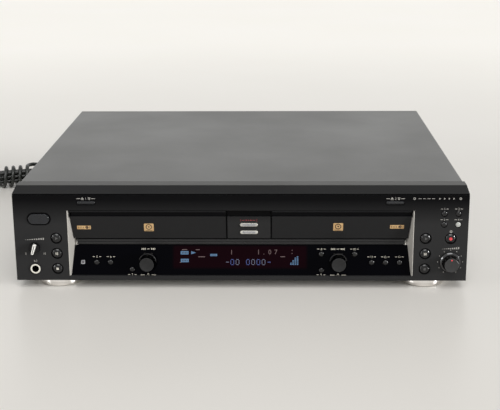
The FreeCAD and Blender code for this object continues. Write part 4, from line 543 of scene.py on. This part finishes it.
signs = bmesh.new()
for across, figure in ((-145.2, "1"), (145.8, "2")):
    arrow(signs, across - 3.2, 90.6, 1.5, 2.6, turn=90)
    bar(signs, across - 3.2, 89.3, 2.6, 0.45)
    number(signs, figure, across, 90.2, 2.1)
    arrow(signs, across + 3.2, 89.8, 1.5, 2.6, turn=-90)
    bar(signs, across + 3.2, 91.1, 2.6, 0.45)
    for reach in (-6.9, 6.9):
        bar(signs, across + reach, 90.2, 3.4, 0.5)
level_sign(signs, -196.0, 50.5, 17.0, 2.0)
number(signs, "0", -205.0, 35.7, 2.0)
number(signs, "10", -187.0, 35.7, 2.0)
number(signs, "6.3", -196.2, 28.6, 2.0)
for across, up, figure in ((192.1, 80.2, "1"), (205.3, 80.2, "2"), (192.2, 69.7, "3"), (205.3, 69.7, "4")):
    number(signs, figure, across, up, 2.1)
    bar(signs, across - 2.6, up, 2.2, 0.5)
    bar(signs, across + 2.6, up, 2.2, 0.5)
ring(signs, 198.9, 58.0, 1.2, 0.6)
for across in (163.5, 206.5):
    ring(signs, across, 90.2, 1.15, 0.6)
for step in range(4):
    bar(signs, 168.6 + step * 4.2, 90.2, 2.8, 0.45)
    arrow(signs, 187.0 + step * 4.4, 90.2, 1.5, 1.8)
level_sign(signs, 199.2, 41.6, 15.0, 2.0)
knob_across, knob_up, scale_radius, scale_marks = 199.2, 27.9, 11.8, 11
for mark in range(scale_marks):
    turn = math.radians(150.0 * (2 * mark / (scale_marks - 1) - 1))
    disc(signs, knob_across + scale_radius * math.sin(turn), knob_up + scale_radius * math.cos(turn), 0.42, 12)
printed("panel_signs", signs, 0.0, print_grey)


# The narrow gap round a long cap
def joint(sign, across, up, length, height, width):
    loop = bmesh.new()
    plate(loop, across, up, length, height, height * 0.499)
    inner = list(loop.faces)
    bmesh.ops.inset_region(loop, faces=inner, thickness=width, use_even_offset=True, use_boundary=True)
    bmesh.ops.delete(loop, geom=inner, context="FACES")
    take_in(sign, loop, Matrix())


# The floors of the sunk rings and of those gaps are painted near black, as the shade that falls into them
painted_shade_black = ink("painted_shade_black", (0.0008, 0.0008, 0.0009), 0.7,
                 500.0, (0.0006, 0.0006, 0.0007), (0.0012, 0.0012, 0.0013), specular=0.05)
large_rings, small_rings, joints = bmesh.new(), bmesh.new(), bmesh.new()
for across in (-175.3, 175.3):
    for up in (20.6, 35.8, 51.0):
        ring(large_rings, across, up, 5.6, 4.5)
ring(large_rings, 198.9, 50.9, 5.6, 4.7)
for across, up in ((192.1, 75.4), (205.3, 75.4), (192.1, 64.8), (205.3, 64.8)):
    ring(small_rings, across, up, 3.1, 2.5)
joint(joints, -190.7, 70.3, 22.8, 12.6, 1.3)
for across in (-145.5, 145.5):
    joint(joints, across, 85.5, 17.9, 3.7, 0.45)
printed("button_rings", large_rings, 1.0, painted_shade_black)
printed("small_button_rings", small_rings, 0.5, painted_shade_black)
printed("long_button_joints", joints, 0.0, painted_shade_black, proud=0.03)

copy_sign = bmesh.new()
number(copy_sign, "1", 0.4, 67.8, 2.0)
for step in (-2.2, 0.0, 2.2):
    arrow(copy_sign, 7.9 + step, 67.8, 1.6, 1.7)
for reach in (-5.0, 5.0):
    bar(copy_sign, 7.9 + reach, 67.8, 2.4, 0.5)
number(copy_sign, "2", 15.6, 67.8, 2.0)
printed("copy_sign", copy_sign, on_door, print_red)

# DISPLAY WINDOW
# A plate of smoked acrylic that leans back under the rail; behind it the display tube shows through a
# wine-red filter, with blue signs and dots lit, the track and time unlit but given a faint painted glow, and
# the eye of the remote control.
smoked = new_material("smoked_acrylic", (0.0012, 0.0012, 0.0018), 0.06, specular=0.025)
polish(smoked, 20.0, 0.04, 0.1, detail=8.0)
lit_field = within(smoked, {ACROSS: (-64.6, 63.3), UP: (19.8, 40.1)}, 0.0014)
two_tone(smoked, lit_field, (0.0008, 0.0008, 0.0016), (0.0052, 0.0007, 0.0019))
dress(smoked, "display_window")


def on_window(up):
    return 2.4 + (up - 13.6) * 0.3346


def glow(material, colour, strength):
    shader_of(material).inputs["Emission Color"].default_value = (*colour, 1.0)
    shader_of(material).inputs["Emission Strength"].default_value = strength


def lamp_colour(name, colour, light):
    lamp = ink(name, colour, 0.4, 900.0, [part * 0.8 for part in colour], [part * 1.2 for part in colour])
    glow(lamp, light, 1.0)
    return lamp


lit_blue = lamp_colour("lit_blue", (0.015, 0.035, 0.06), (0.045, 0.11, 0.21))
lit_violet = lamp_colour("lit_violet", (0.015, 0.02, 0.05), (0.04, 0.07, 0.26))
lit_pale = lamp_colour("lit_pale", (0.03, 0.03, 0.05), (0.11, 0.12, 0.17))
# The unlit segments are still given a faint glow: a painted glow.
unlit = lamp_colour("unlit_segment", (0.04, 0.025, 0.025), (0.06, 0.035, 0.035))
segment_gap = ink("segment_gap", (0.01, 0.02, 0.04), 0.4, 900.0, (0.008, 0.016, 0.034), (0.014, 0.026, 0.05))

lit, holes, dim = bmesh.new(), bmesh.new(), bmesh.new()
for across, up in ((-53.9, 33.7), (-53.7, 26.7)):
    plate(lit, across, up, 7.6, 3.1, 0.4)
    for step in (-2.2, -0.7, 0.8, 2.3):
        bar(holes, across + step, up, 0.8, 1.5)
arrow(lit, -46.0, 33.8, 4.6, 2.8)
plate(lit, -25.9, 31.7, 6.6, 2.0, 0.3)
bar(holes, -25.9, 31.7, 4.6, 0.5)
bar_pitch, bar_rise = 2.1, 1.16
for column, segments in enumerate((2, 4, 6, 7)):
    for segment in range(segments):
        bar(lit, 48.3 + column * bar_pitch, 23.2 + segment * bar_rise, 1.5, 0.76)
for across, up, length in ((-53.9, 36.6, 5.0), (-41.3, 36.5, 3.6), (-37.4, 30.1, 6.4), (40.4, 30.2, 4.4),
                           (-57.8, 25.0, 1.2)):
    bar(dim, across, up, length, 0.7)
number(dim, "1", -8.7, 34.3, 4.2)
for figure, across in (("1", 17.2), ("0", 28.0), ("7", 33.9)):
    number(dim, figure, across, 34.5, 4.2)
for across, up in ((22.3, 32.6), (49.4, 36.0), (49.4, 33.2)):
    disc(dim, across, up, 0.4, 12)
printed("display_lit", lit, on_window, lit_blue)
printed("display_gaps", holes, on_window, segment_gap, proud=0.06)
printed("display_unlit", dim, on_window, unlit)

# The row of dot characters reads as noughts between dashes
nought = ("01110", "10001", "10001", "10001", "10001", "10001", "01110")
dash = ("00000", "00000", "00000", "01111", "00000", "00000", "00000")
dot_pitch, dot_rise, dot_size, figure_pitch = 0.72, 0.78, 0.56, 5.0
dots = {"violet": bmesh.new(), "pale": bmesh.new()}
for place, figure in enumerate("-00 0000-"):
    rows = {"0": nought, "-": dash, " ": ()}[figure]
    sign = dots["violet" if place in (1, 4, 6, 8) else "pale"]
    for row, line in enumerate(rows):
        for column, dot in enumerate(line):
            if dot == "1":
                bar(sign, -13.0 + place * figure_pitch + (column - 2) * dot_pitch,
                    25.3 + (3 - row) * dot_rise, dot_size, dot_size)
printed("display_dots_violet", dots["violet"], on_window, lit_violet)
printed("display_dots_pale", dots["pale"], on_window, lit_pale)

key_signs = bmesh.new()
for across, up, figure in (
        (-138.3, 30.1, "5"), (-125.0, 30.1, "6"), (-104.1, 13.9, "7"), (77.6, 37.2, "8"), (77.1, 13.9, "9"),
        (109.1, 37.2, "10"), (125.5, 30.2, "11"), (138.6, 30.2, "12"), (152.0, 30.2, "13")):
    number(key_signs, figure, across, up, 1.9)
    for side in (-1, 1):
        bar(key_signs, across + side * 3.1, up, 1.9, 0.45)
for across in (-88.8, 93.3):
    for side, turn in ((-1, 180), (1, 0)):
        for step in (3.2, 4.9):
            arrow(key_signs, across + side * step, 37.2, 1.6, 1.9, turn)
        bar(key_signs, across + side * 6.3, 37.2, 0.5, 1.9)
        bar(key_signs, across + side * 5.4, 13.6, 4.2, 0.5)
    bar(key_signs, across, 37.2, 2.6, 0.5)
    arrow(key_signs, across, 14.4, 1.2, 2.4, 90)
    bar(key_signs, across, 13.2, 3.4, 0.45)
window_print = ink("window_print", (0.46, 0.43, 0.36), 0.5, 700.0, (0.42, 0.39, 0.33), (0.54, 0.51, 0.43))
printed("window_signs", key_signs, on_window, window_print)

eye_cover = ink("eye_cover", (0.3, 0.3, 0.31), 0.3, 300.0, (0.18, 0.18, 0.19), (0.3, 0.3, 0.31))
eye_lens = ink("eye_lens", (0.06, 0.05, 0.06), 0.15, 500.0, (0.05, 0.04, 0.05), (0.09, 0.08, 0.09))
eye, pupil = bmesh.new(), bmesh.new()
plate(eye, -151.7, 25.2, 3.6, 3.6, 0.5)
disc(pupil, -151.7, 25.2, 1.1)
printed("remote_eye", eye, on_window, eye_cover)
printed("remote_eye_lens", pupil, on_window, eye_lens, proud=0.08)

# BUTTONS
# Gloss black caps in sunk rings, turned and domed, each with a flange behind the wall and a stem behind that.
# Power and disc drawers have long caps. Signs are printed on the caps; one small button lights up white.
button_gloss = new_material("button_gloss", (0.008, 0.008, 0.009), 0.16, specular=0.45)
tint(button_gloss, 200.0, (0.002, 0.002, 0.0025), (0.004, 0.004, 0.005))
polish(button_gloss, 120.0, 0.05, 0.1)
relief(button_gloss, 900.0, 0.000005)

lit_cap = new_material("lit_cap", (0.5, 0.51, 0.48), 0.3)
tint(lit_cap, 600.0, (0.32, 0.33, 0.31), (0.5, 0.51, 0.48))
polish(lit_cap, 200.0, 0.2, 0.3)
relief(lit_cap, 900.0, 0.00001)


# A shape turned about its node's axis, its stations measured from a place given in depth
def turned_at(name, front, profile, steps, tilt=90):
    shape = bmesh.new()
    middle = (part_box(name)[0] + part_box(name)[1]) / 2
    take_in(shape, turned(profile, steps), Matrix.Translation((middle.x, front, middle.z)) @ tilted(tilt, "X"))
    return shape


round_buttons = [name for name in nodes
                 if "_button" in name and not name.startswith(("power", "eject", "sync_"))]
flange_rim, flange_wall, stem_radius, crown_angle = 1.2 * MM, 1.0 * MM, 2.0 * MM, math.radians(46)
for name in round_buttons:
    low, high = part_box(name)
    middle = (low + high) / 2
    cap = (high.x - low.x) / 2 - flange_rim
    dome = cap * 0.8
    corners = [nodes[name].matrix_world @ vertex.co for vertex in nodes[name].data.vertices]
    flange = min(corner.y for corner in corners
                 if math.hypot(corner.x - middle.x, corner.z - middle.z) > cap + flange_rim / 2) - low.y
    angles = [crown_angle * step / 6 for step in range(7)]
    crown = [(cap * 0.4 + dome * math.sin(angle), -dome * (1 - math.cos(angle))) for angle in angles]
    profile = [(0.0, 0.0)] + crown + [
        (cap, -cap * 0.25), (cap, -flange), (cap + flange_rim, -flange),
        (cap + flange_rim, -flange - flange_wall), (stem_radius, -flange - flange_wall),
        (stem_radius, low.y - high.y), (0.0, low.y - high.y)]
    button = turned_at(name, low.y, profile, 32)
    finish = lit_cap if name == "synchro_button" else button_gloss
    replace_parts(piece(name + "_turned", button, finish, name), name)

long_cap = new_material("long_cap_gloss", (0.014, 0.015, 0.018), 0.24, specular=0.4)
tint(long_cap, 150.0, (0.009, 0.01, 0.012), (0.012, 0.013, 0.016))
polish(long_cap, 60.0, 0.12, 0.2)
relief(long_cap, 900.0, 0.000008, edge=0.0009)
dress(long_cap, "power_button", "eject_button_left", "eject_button_right")

cap_front = -0.5
print_white = ink("printed_white", (0.5, 0.48, 0.42), 0.45, 700.0, (0.44, 0.42, 0.37), (0.58, 0.56, 0.5))
print_faint = ink("printed_faint", (0.06, 0.06, 0.06), 0.45, 700.0, (0.05, 0.05, 0.05), (0.08, 0.08, 0.08))
for side, across in (("left", -175.3), ("right", 175.3)):
    play, pause, stop = bmesh.new(), bmesh.new(), bmesh.new()
    arrow(play, across + 0.2, 51.0, 2.6, 2.8)
    for step in (-0.75, 0.75):
        bar(pause, across + step, 35.8, 0.85, 2.4)
    plate(stop, across, 20.6, 2.3, 2.3, 0.2)
    stop_print = print_white if side == "left" else print_faint
    for action, sign, finish in (
            ("play", play, print_faint), ("pause", pause, print_white), ("stop", stop, stop_print)):
        printed(action + "_sign_" + side, sign, cap_front, finish, action + "_button_" + side)

# The red dots of the record button and the level knob are print, given a faint painted glow.
red_print_painted_glow = ink("red_print_painted_glow", (0.55, 0.03, 0.04), 0.25, 400.0, (0.45, 0.02, 0.03), (0.65, 0.06, 0.07))
glow(red_print_painted_glow, (0.5, 0.04, 0.05), 0.25)
red_dot = bmesh.new()
disc(red_dot, 198.9, 50.9, 1.55)
printed("record_dot", red_dot, cap_front, red_print_painted_glow, "record_button")

# SYNC BUTTONS
# Two long caps on the centre block, plated in a warm silver, with a duller grey bar along the middle.
# Each springs on a flange behind the block, and the bar is printed on its front.
sync_plating = new_material("sync_plating", (0.7, 0.68, 0.58), 0.28, metallic=0.35)
tint(sync_plating, 80.0, (0.4, 0.39, 0.36), (0.54, 0.53, 0.49), stretch=(0.2, 1.0, 1.0))
polish(sync_plating, 160.0, 0.2, 0.34)
relief(sync_plating, 900.0, 0.000008, edge=0.0005)
dress(sync_plating, "sync_button_upper", "sync_button_lower")
dull_bar = ink("dull_bar", (0.45, 0.45, 0.44), 0.4, 300.0, (0.2, 0.2, 0.21), (0.34, 0.34, 0.35))
for name, up in (("upper", 63.1), ("lower", 55.0)):
    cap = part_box("sync_button_" + name)[0].y
    middle = bmesh.new()
    plate(middle, 8.2, up, 12.4, 2.0, 0.9)
    printed("sync_bar_" + name, middle, (cap - face) / MM, dull_bar, "sync_button_" + name)

# KNOBS
# The jog knobs are turned and black-plated, with a polished collar and a matt, dished front. The record level
# knob is a polished black drum on a broad skirt, with a red dot on its matt front. The phone level knob is a
# small black disc with a raised, silvered pointer.


# A matt front, and mirror-black plating from a plane on
def knob_finish(name, colour, specular, plane, dark, light, roughness, mirror):
    finish = new_material(name, colour, 0.2, specular=specular)
    plated = beyond(finish, DEEP, plane)
    two_tone(finish, plated, tint(finish, 500.0, dark, light), mirror)
    two_way(finish, plated, "Metallic")
    two_way(finish, plated, "Roughness", roughness, 0.1)
    relief(finish, 900.0, 0.000005)
    return finish


jog_front, level_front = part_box("jog_knob_left")[0].y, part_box("record_level_knob")[0].y
jog_metal = knob_finish("jog_metal", (0.2, 0.2, 0.205), 0.3, jog_front + 0.4 * MM,
                        (0.009, 0.009, 0.0095), (0.014, 0.014, 0.0145), 0.45, (0.055, 0.055, 0.057))
jog_profile = [
    (0.0, -0.35), (5.3, -0.35), (5.9, -0.12), (6.3, 0.0), (6.65, -0.15), (6.9, -0.7), (6.95, -2.0),
    (7.05, -4.5), (7.2, -6.5), (7.45, -7.8), (7.8, -8.6), (8.2, -9.1), (8.5, -9.35), (8.6, -9.7),
    (8.6, -11.2), (3.06, -11.2), (3.06, -3.0), (0.0, -3.0)]
for side in ("left", "right"):
    name = "jog_knob_" + side
    knob = turned_at(name, jog_front, in_metres(jog_profile), 64)
    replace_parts(piece("jog_turned_" + side, knob, jog_metal, name), name)

level_gloss = knob_finish("level_knob_gloss", (0.012, 0.012, 0.013), 0.5, level_front + 0.25 * MM,
                          (0.014, 0.014, 0.0145), (0.02, 0.02, 0.0205), 0.4, (0.07, 0.07, 0.072))
level_profile = [
    (0.0, -0.1), (6.1, -0.1), (6.4, 0.0), (6.7, -0.2), (6.85, -0.6), (7.0, -1.8), (7.15, -4.0), (7.4, -6.2),
    (7.8, -7.4), (8.4, -8.2), (9.0, -8.75), (9.5, -9.1), (9.8, -9.35), (9.9, -9.7), (9.9, -10.5),
    (3.0, -10.5), (3.0, -32.8), (0.0, -32.8)]
level_knob = turned_at("record_level_knob", level_front, in_metres(level_profile), 64)
level_knob = piece("record_level_turned", level_knob, level_gloss, "record_level_knob")
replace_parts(level_knob, "record_level_knob")
pointer = bmesh.new()
disc(pointer, 199.1, 33.0, 0.75, 16)
printed("record_level_pointer", pointer, (level_front - face) / MM, red_print_painted_glow, "record_level_knob")

bar_front, disc_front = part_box("phone_level_knob")[0].y, face - 5.1 * MM
phone_finish = new_material("phone_knob_finish", (0.012, 0.012, 0.013), 0.3, specular=0.2)
silvered = between(phone_finish, DEEP, bar_front - 1.0 * MM, disc_front - 0.1 * MM)
two_tone(phone_finish, silvered, (0.004, 0.004, 0.0045), (0.84, 0.83, 0.79))
polish(phone_finish, 200.0, 0.2, 0.34)
relief(phone_finish, 900.0, 0.00001)
phone_profile = [
    (0.0, 0.0), (4.7, 0.0), (5.0, -0.12), (5.2, -0.45), (5.2, -4.5), (3.0, -4.5), (3.0, -26.8), (0.0, -26.8)]
phone_knob = turned_at("phone_level_knob", disc_front, in_metres(phone_profile), 48)
pointer_tilt, pointer_rise = -17.0, disc_front - bar_front
pointer_sunk, pointer_edge, phone_across, phone_up = 0.3 * MM, 0.35 * MM, -196.1 * MM, 42.0 * MM
fin = drawn_out([(across * MM, up * MM, -pointer_sunk)
                 for across, up in ((-1.5, 4.9), (-1.1, -4.9), (1.1, -4.9), (1.5, 4.9))],
                (0, 0, pointer_rise + pointer_sunk))
bmesh.ops.bevel(fin, geom=list(fin.edges), affect="EDGES", offset=pointer_edge, segments=3, profile=0.5,
                material=-1)
take_in(phone_knob, fin, Matrix.Translation((phone_across, disc_front, phone_up)) @ tilted(90, "X")
        @ tilted(pointer_tilt, "Z"))
phone_knob = piece("phone_level_turned", phone_knob, phone_finish, "phone_level_knob")
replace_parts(phone_knob, "phone_level_knob")
line = bmesh.new()
bar(line, -196.0, 42.1, 0.7, 8.2, tilt=pointer_tilt)
printed("phone_level_line", line, (bar_front - face) / MM, button_gloss, "phone_level_knob")

# HEADPHONE SOCKET
# A ring nut, plated pale as nickel inside its black edge, holds it in the panel.
# Behind is a black moulded body whose bore takes the plug.
jack = new_material("jack_plating", (0.75, 0.73, 0.65), 0.25, metallic=0.5)
centred = made(jack, "Mapping", {"Vector": own_places(jack), "Location": (196.4 * MM, 0.0, -20.8 * MM),
                                 "Scale": (1.0, 0.0, 1.0)})
from_axis = made(jack, "VectorMath", {0: centred}, "Value", operation="LENGTH")


def wider_than(radius):
    return spread(jack, from_axis, ((radius - 0.05) * MM, (radius + 0.05) * MM))


ring_nut = both(jack, within(jack, {DEEP: (face_mm - 5.0, face_mm + 0.1)}),
                combined(jack, "SUBTRACT", wider_than(3.35), wider_than(4.75)))
two_tone(jack, ring_nut, (0.008, 0.008, 0.008), (0.8, 0.78, 0.7))
two_way(jack, ring_nut, "Metallic", 0.0, 0.5)
relief(jack, 900.0, 0.000008, edge=0.0005)
dress(jack, "phones_jack")

# TOP COVER
# One sheet of steel folded over the top and both sides, stove-painted satin black like the rear panel; its
# colour is painted a lighter grey-black than the rear panel's, as painted sheen on the top.
# It stops short of the front moulding by a narrow seam.
# The cover's paint is lighter than the rear panel's: painted sheen.
dress(stove_paint("cover_paint", (0.045, 0.045, 0.042), 1.0), "top_cover")

# REAR SOCKETS
# One black moulding behind the rear panel, with plated sleeves on coloured rings: white and red for the two
# channels, orange for the digital output. Two square optical ports stand beside them.
sockets = new_material("socket_moulding", (0.02, 0.02, 0.02), 0.35)
sleeve, outer = beyond(sockets, DEEP, rear + 0.6 * MM), beyond(sockets, DEEP, rear - 0.9 * MM)
ring_colour = (0.02, 0.02, 0.02)
for starts_at, colour in ((50.0, (0.75, 0.2, 0.02)), (75.0, (0.7, 0.7, 0.68)), (95.0, (0.55, 0.02, 0.02))):
    ring_colour = two_tone(sockets, beyond(sockets, ACROSS, starts_at * MM), ring_colour, colour)
ring_colour = two_tone(sockets, outer, (0.02, 0.02, 0.02), ring_colour)
two_tone(sockets, sleeve, ring_colour, (0.7, 0.68, 0.62))
two_way(sockets, sleeve, "Metallic")
polish(sockets, 100.0, 0.25, 0.4)
relief(sockets, 1500.0, 0.00001, edge=0.0003)
dress(sockets, "rear_sockets")

# MAINS CORD
# A round two-core flexible cord, about 1.6 m outside the case, that leaves the rear panel through its bush,
# sinks to the table and runs to the left. The rest is tied up as a hank, wrapped with its own end.
cord_radius = 2.4 * MM
hank_place, hank_turn = (-303.0, 385.0, -9.0), math.radians(18.0)
hank_half, fold_radius, neck, column = 78.0, 14.6, 15.0, 2.75
layer_pitch, lying = 5.5, 2.4
wrap_radius, wrap_pitch, wrap_turns, points_a_turn = 11.5, 9.0, 3.5, 12
arc_step = 2 * math.pi / points_a_turn
wrap_height = lying + wrap_radius
fold_centre = hank_half - fold_radius


# A point of the cord, from the case's own axes: across, depth behind the face, height above the underside
def in_case(across, depth, height):
    return Vector((across * MM, face + depth * MM, bottom + height * MM))


# The same from the hank's axes: along it, sideways, above the table
def in_hank(along, side, rise):
    across, depth, table = hank_place
    return in_case(across + along * math.cos(hank_turn) - side * math.sin(hank_turn),
                   depth + along * math.sin(hank_turn) + side * math.cos(hank_turn), table + rise)


lead = [in_case(*point) for point in (
    (-105.0, 415.0, 15.0), (-105.0, 429.0, 15.0), (-109.0, 445.5, 8.5), (-121.0, 457.0, -1.5),
    (-139.0, 459.0, -6.6), (-157.0, 451.0, -6.6), (-173.0, 440.0, -6.6), (-189.0, 428.5, -6.6))]
lead += [in_hank(102.0, column, lying), in_hank(88.0, column, lying)]


# One length of the hank from end to end: drawn in and piled up at the neck, spread and low at its ends
def pass_along(side, start_rise, neck_rise, end_rise, start_side=fold_radius):
    points = []
    for step in (55.0, 43.0, 31.0, 19.0, 7.0, -7.0, -19.0, -31.0, -43.0, -55.0):
        share = max(0.0, (abs(step) - neck) / (fold_centre - neck))
        ease = share * share * (3 - 2 * share)
        end, reach = (start_rise, start_side) if step > 0 else (end_rise, fold_radius)
        points.append(in_hank(side * step, side * (column + (reach - column) * ease),
                              neck_rise + (end - neck_rise) * ease))
    return points


# The cord's points round an arc, on the corners of the polygon that touches it
def arc(centre, radius, first_angle, turns, rise):
    reach = radius / math.cos(arc_step / 2)
    angles = [first_angle + arc_step * (place + 0.5) for place in range(int(turns * points_a_turn))]
    return [in_hank(centre + reach * math.cos(angle), reach * math.sin(angle), rise) for angle in angles]


def hank():
    points = []
    for layer in range(3):
        neck_rise = wrap_height + layer_pitch * (layer - 1)
        low, high = lying + layer_pitch * layer, lying + layer_pitch * (layer + 1)
        points += pass_along(1, low, neck_rise, low, column if layer == 0 else fold_radius)
        points += arc(-fold_centre, fold_radius, math.pi / 2, 0.5, low)
        points += pass_along(-1, low, neck_rise, high)
        points += arc(fold_centre, fold_radius, -math.pi / 2, 0.5, high)
    return points


def wraps():
    start = wrap_pitch * wrap_turns / 2
    reach = wrap_radius / math.cos(arc_step / 2)
    points = [in_hank(51.0, 13.6, 20.0), in_hank(41.0, 12.4, 22.2), in_hank(32.0, 11.6, 24.2)]
    points += arc(start + wrap_radius, wrap_radius, math.pi / 2, 0.25, wrap_height + wrap_radius)
    for place in range(int(wrap_turns * points_a_turn)):
        turn = (place + 0.5) * arc_step
        points.append(in_hank(start - wrap_pitch * turn / (2 * math.pi), -reach * math.sin(turn),
                              wrap_height + reach * math.cos(turn)))
    return points


tail = [in_hank(*point) for point in (
    (-16.4, 8.0, lying), (-18.4, 16.0, lying), (-23.5, 22.6, lying), (-32.0, 26.0, lying),
    (-43.0, 26.0, 3.6), (-54.0, 26.0, 6.6), (-64.0, 26.0, 7.5), (-73.6, 26.0, 7.5))]

cord_line = bpy.data.curves.new("mains_cord", "CURVE")
cord_line.dimensions = "3D"
cord_line.bevel_depth = cord_radius
cord_line.bevel_resolution = 4
cord_line.resolution_u = 5
cord_line.use_fill_caps = True
route = lead + hank() + wraps() + tail
line = cord_line.splines.new("NURBS")
line.points.add(len(route) - 1)
for point, place in zip(line.points, route):
    point.co = (*place, 1.0)
line.order_u = 3
line.use_endpoint_u = True
line.use_smooth = True
cord = shown("mains_cord", cord_line)
cord_skin = new_material("cord_sheath", (0.012, 0.014, 0.012), 0.28)
polish(cord_skin, 160.0, 0.2, 0.36)
relief(cord_skin, 900.0, 0.00002)
cord_line.materials.append(cord_skin)

bush_profile = [
    (0.0, 0.0), (4.6, 0.0), (5.4, 2.9), (4.6, 2.9), (4.6, 4.1), (6.6, 4.1), (7.0, 4.5), (7.0, 5.1), (6.6, 5.5),
    (5.7, 5.5)]
for rib in range(6):
    station, taper = 7.3 + 3.9 * rib, 5.5 - 0.31 * rib
    bush_profile += [(taper, station), (taper - 0.9, station + 0.2), (taper - 1.0, station + 1.6),
                     (taper - 0.2, station + 1.8)]
bush_profile += [(3.6, 31.0), (3.4, 31.7), (3.0, 32.0), (0.0, 32.0)]
bush = turned_at("cord_bush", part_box("cord_bush")[0].y, in_metres(bush_profile), 40, -90)
ribbed_bush = piece("ribbed_bush", bush, cord_skin, "root")
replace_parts(ribbed_bush, "cord_bush")

plug_skin = new_material("plug_moulding", (0.012, 0.014, 0.012), 0.3)
along_blades = (-math.cos(hank_turn), -math.sin(hank_turn), 0.0)
blade_tips = max((nodes["mains_plug"].matrix_world @ vertex.co).dot(Vector(along_blades))
                 for vertex in nodes["mains_plug"].data.vertices)
blades = beyond(plug_skin, along_blades, blade_tips - 15.95 * MM)
moulded = tint(plug_skin, 300.0, (0.01, 0.012, 0.01), (0.015, 0.017, 0.015))
two_tone(plug_skin, blades, moulded, (0.62, 0.6, 0.52))
two_way(plug_skin, blades, "Metallic")
relief(plug_skin, 900.0, 0.00002, edge=0.0004)
dress(plug_skin, "mains_plug")
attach(cord, "root")
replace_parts(cord, "mains_lead", "mains_hank")

# STUDIO
# A plain pale table that runs on as the backdrop, even soft light from the front and from both sides, and the
# camera a metre in front of the recorder, a little above it.
table = bmesh.new()
bmesh.ops.create_grid(table, x_segments=1, y_segments=1, size=6.0)
table_mesh = bpy.data.meshes.new("table_top")
table.to_mesh(table_mesh)
table.free()
table_look = new_material("pale_table", (0.86, 0.83, 0.78), 0.35)
tint(table_look, 2.0, (0.85, 0.82, 0.77), (0.87, 0.84, 0.79))
polish(table_look, 3.0, 0.32, 0.4)
far_off = made(table_look, "VectorMath", {0: own_places(table_look)}, "Value", operation="LENGTH")
surround = spread(table_look, far_off, (0.55, 1.6))
seen_directly = made(table_look, "LightPath", {}, "Is Camera Ray")
glow(table_look, (1.0, 0.98, 0.9), 0.0)
two_way(table_look, both(table_look, surround, seen_directly), "Emission Strength", 0.0, 0.16)
table_mesh.materials.append(table_look)
shown("table_top", table_mesh)


# A broad light far off: it falls evenly over recorder and table
def soft_light(name, place, power, degrees):
    lamp = bpy.data.lights.new(name, "SUN")
    lamp.energy, lamp.angle = power, math.radians(degrees)
    shown(name, lamp).rotation_euler = (-Vector(place)).to_track_quat("-Z", "Y").to_euler()


soft_light("front_light", (0.1, -1.5, 1.8), 1.5, 40.0)
soft_light("right_light", (1.2, -0.55, 0.28), 2.2, 14.0)
soft_light("left_light", (-1.1, -0.6, 0.28), 0.5, 14.0)

air = bpy.data.worlds.new("studio_air")
bpy.context.scene.world = air
air.use_nodes = True
background = air.node_tree.nodes["Background"]
background.inputs["Color"].default_value = (0.85, 0.85, 0.84, 1.0)
seen = made(air, "LightPath", {}, "Is Camera Ray")
for ray in ("Is Glossy Ray", "Is Transmission Ray"):
    seen = combined(air, "MAXIMUM", seen, made(air, "LightPath", {}, ray))
sky_strength = spread(air, seen, (0.0, 1.0), (0.35, 1.0))
air.node_tree.links.new(sky_strength, background.inputs["Strength"])

camera_data = bpy.data.cameras.new("viewpoint")
focal_pixels, picture_width = 1104.597, 500
camera_data.sensor_width = 36.0
camera_data.lens = 36.0 * focal_pixels / picture_width
camera = shown("viewpoint", camera_data)
pitch, yaw, roll = math.radians(15.827), math.radians(-1.240), math.radians(0.323)
forward = Vector((math.sin(yaw) * math.cos(pitch), math.cos(yaw) * math.cos(pitch), -math.sin(pitch)))
right = Vector((math.cos(yaw), -math.sin(yaw), 0.0))
down = forward.cross(right)
level, plumb = math.cos(roll) * right + math.sin(roll) * down, math.cos(roll) * down - math.sin(roll) * right
turn = Matrix((level, -plumb, -forward)).transposed().to_4x4()
camera.matrix_world = Matrix.Translation((31.05 * MM, face - 998.44 * MM, 367.14 * MM)) @ turn
bpy.context.scene.camera = camera
bpy.context.scene.view_settings.view_transform = "Standard"
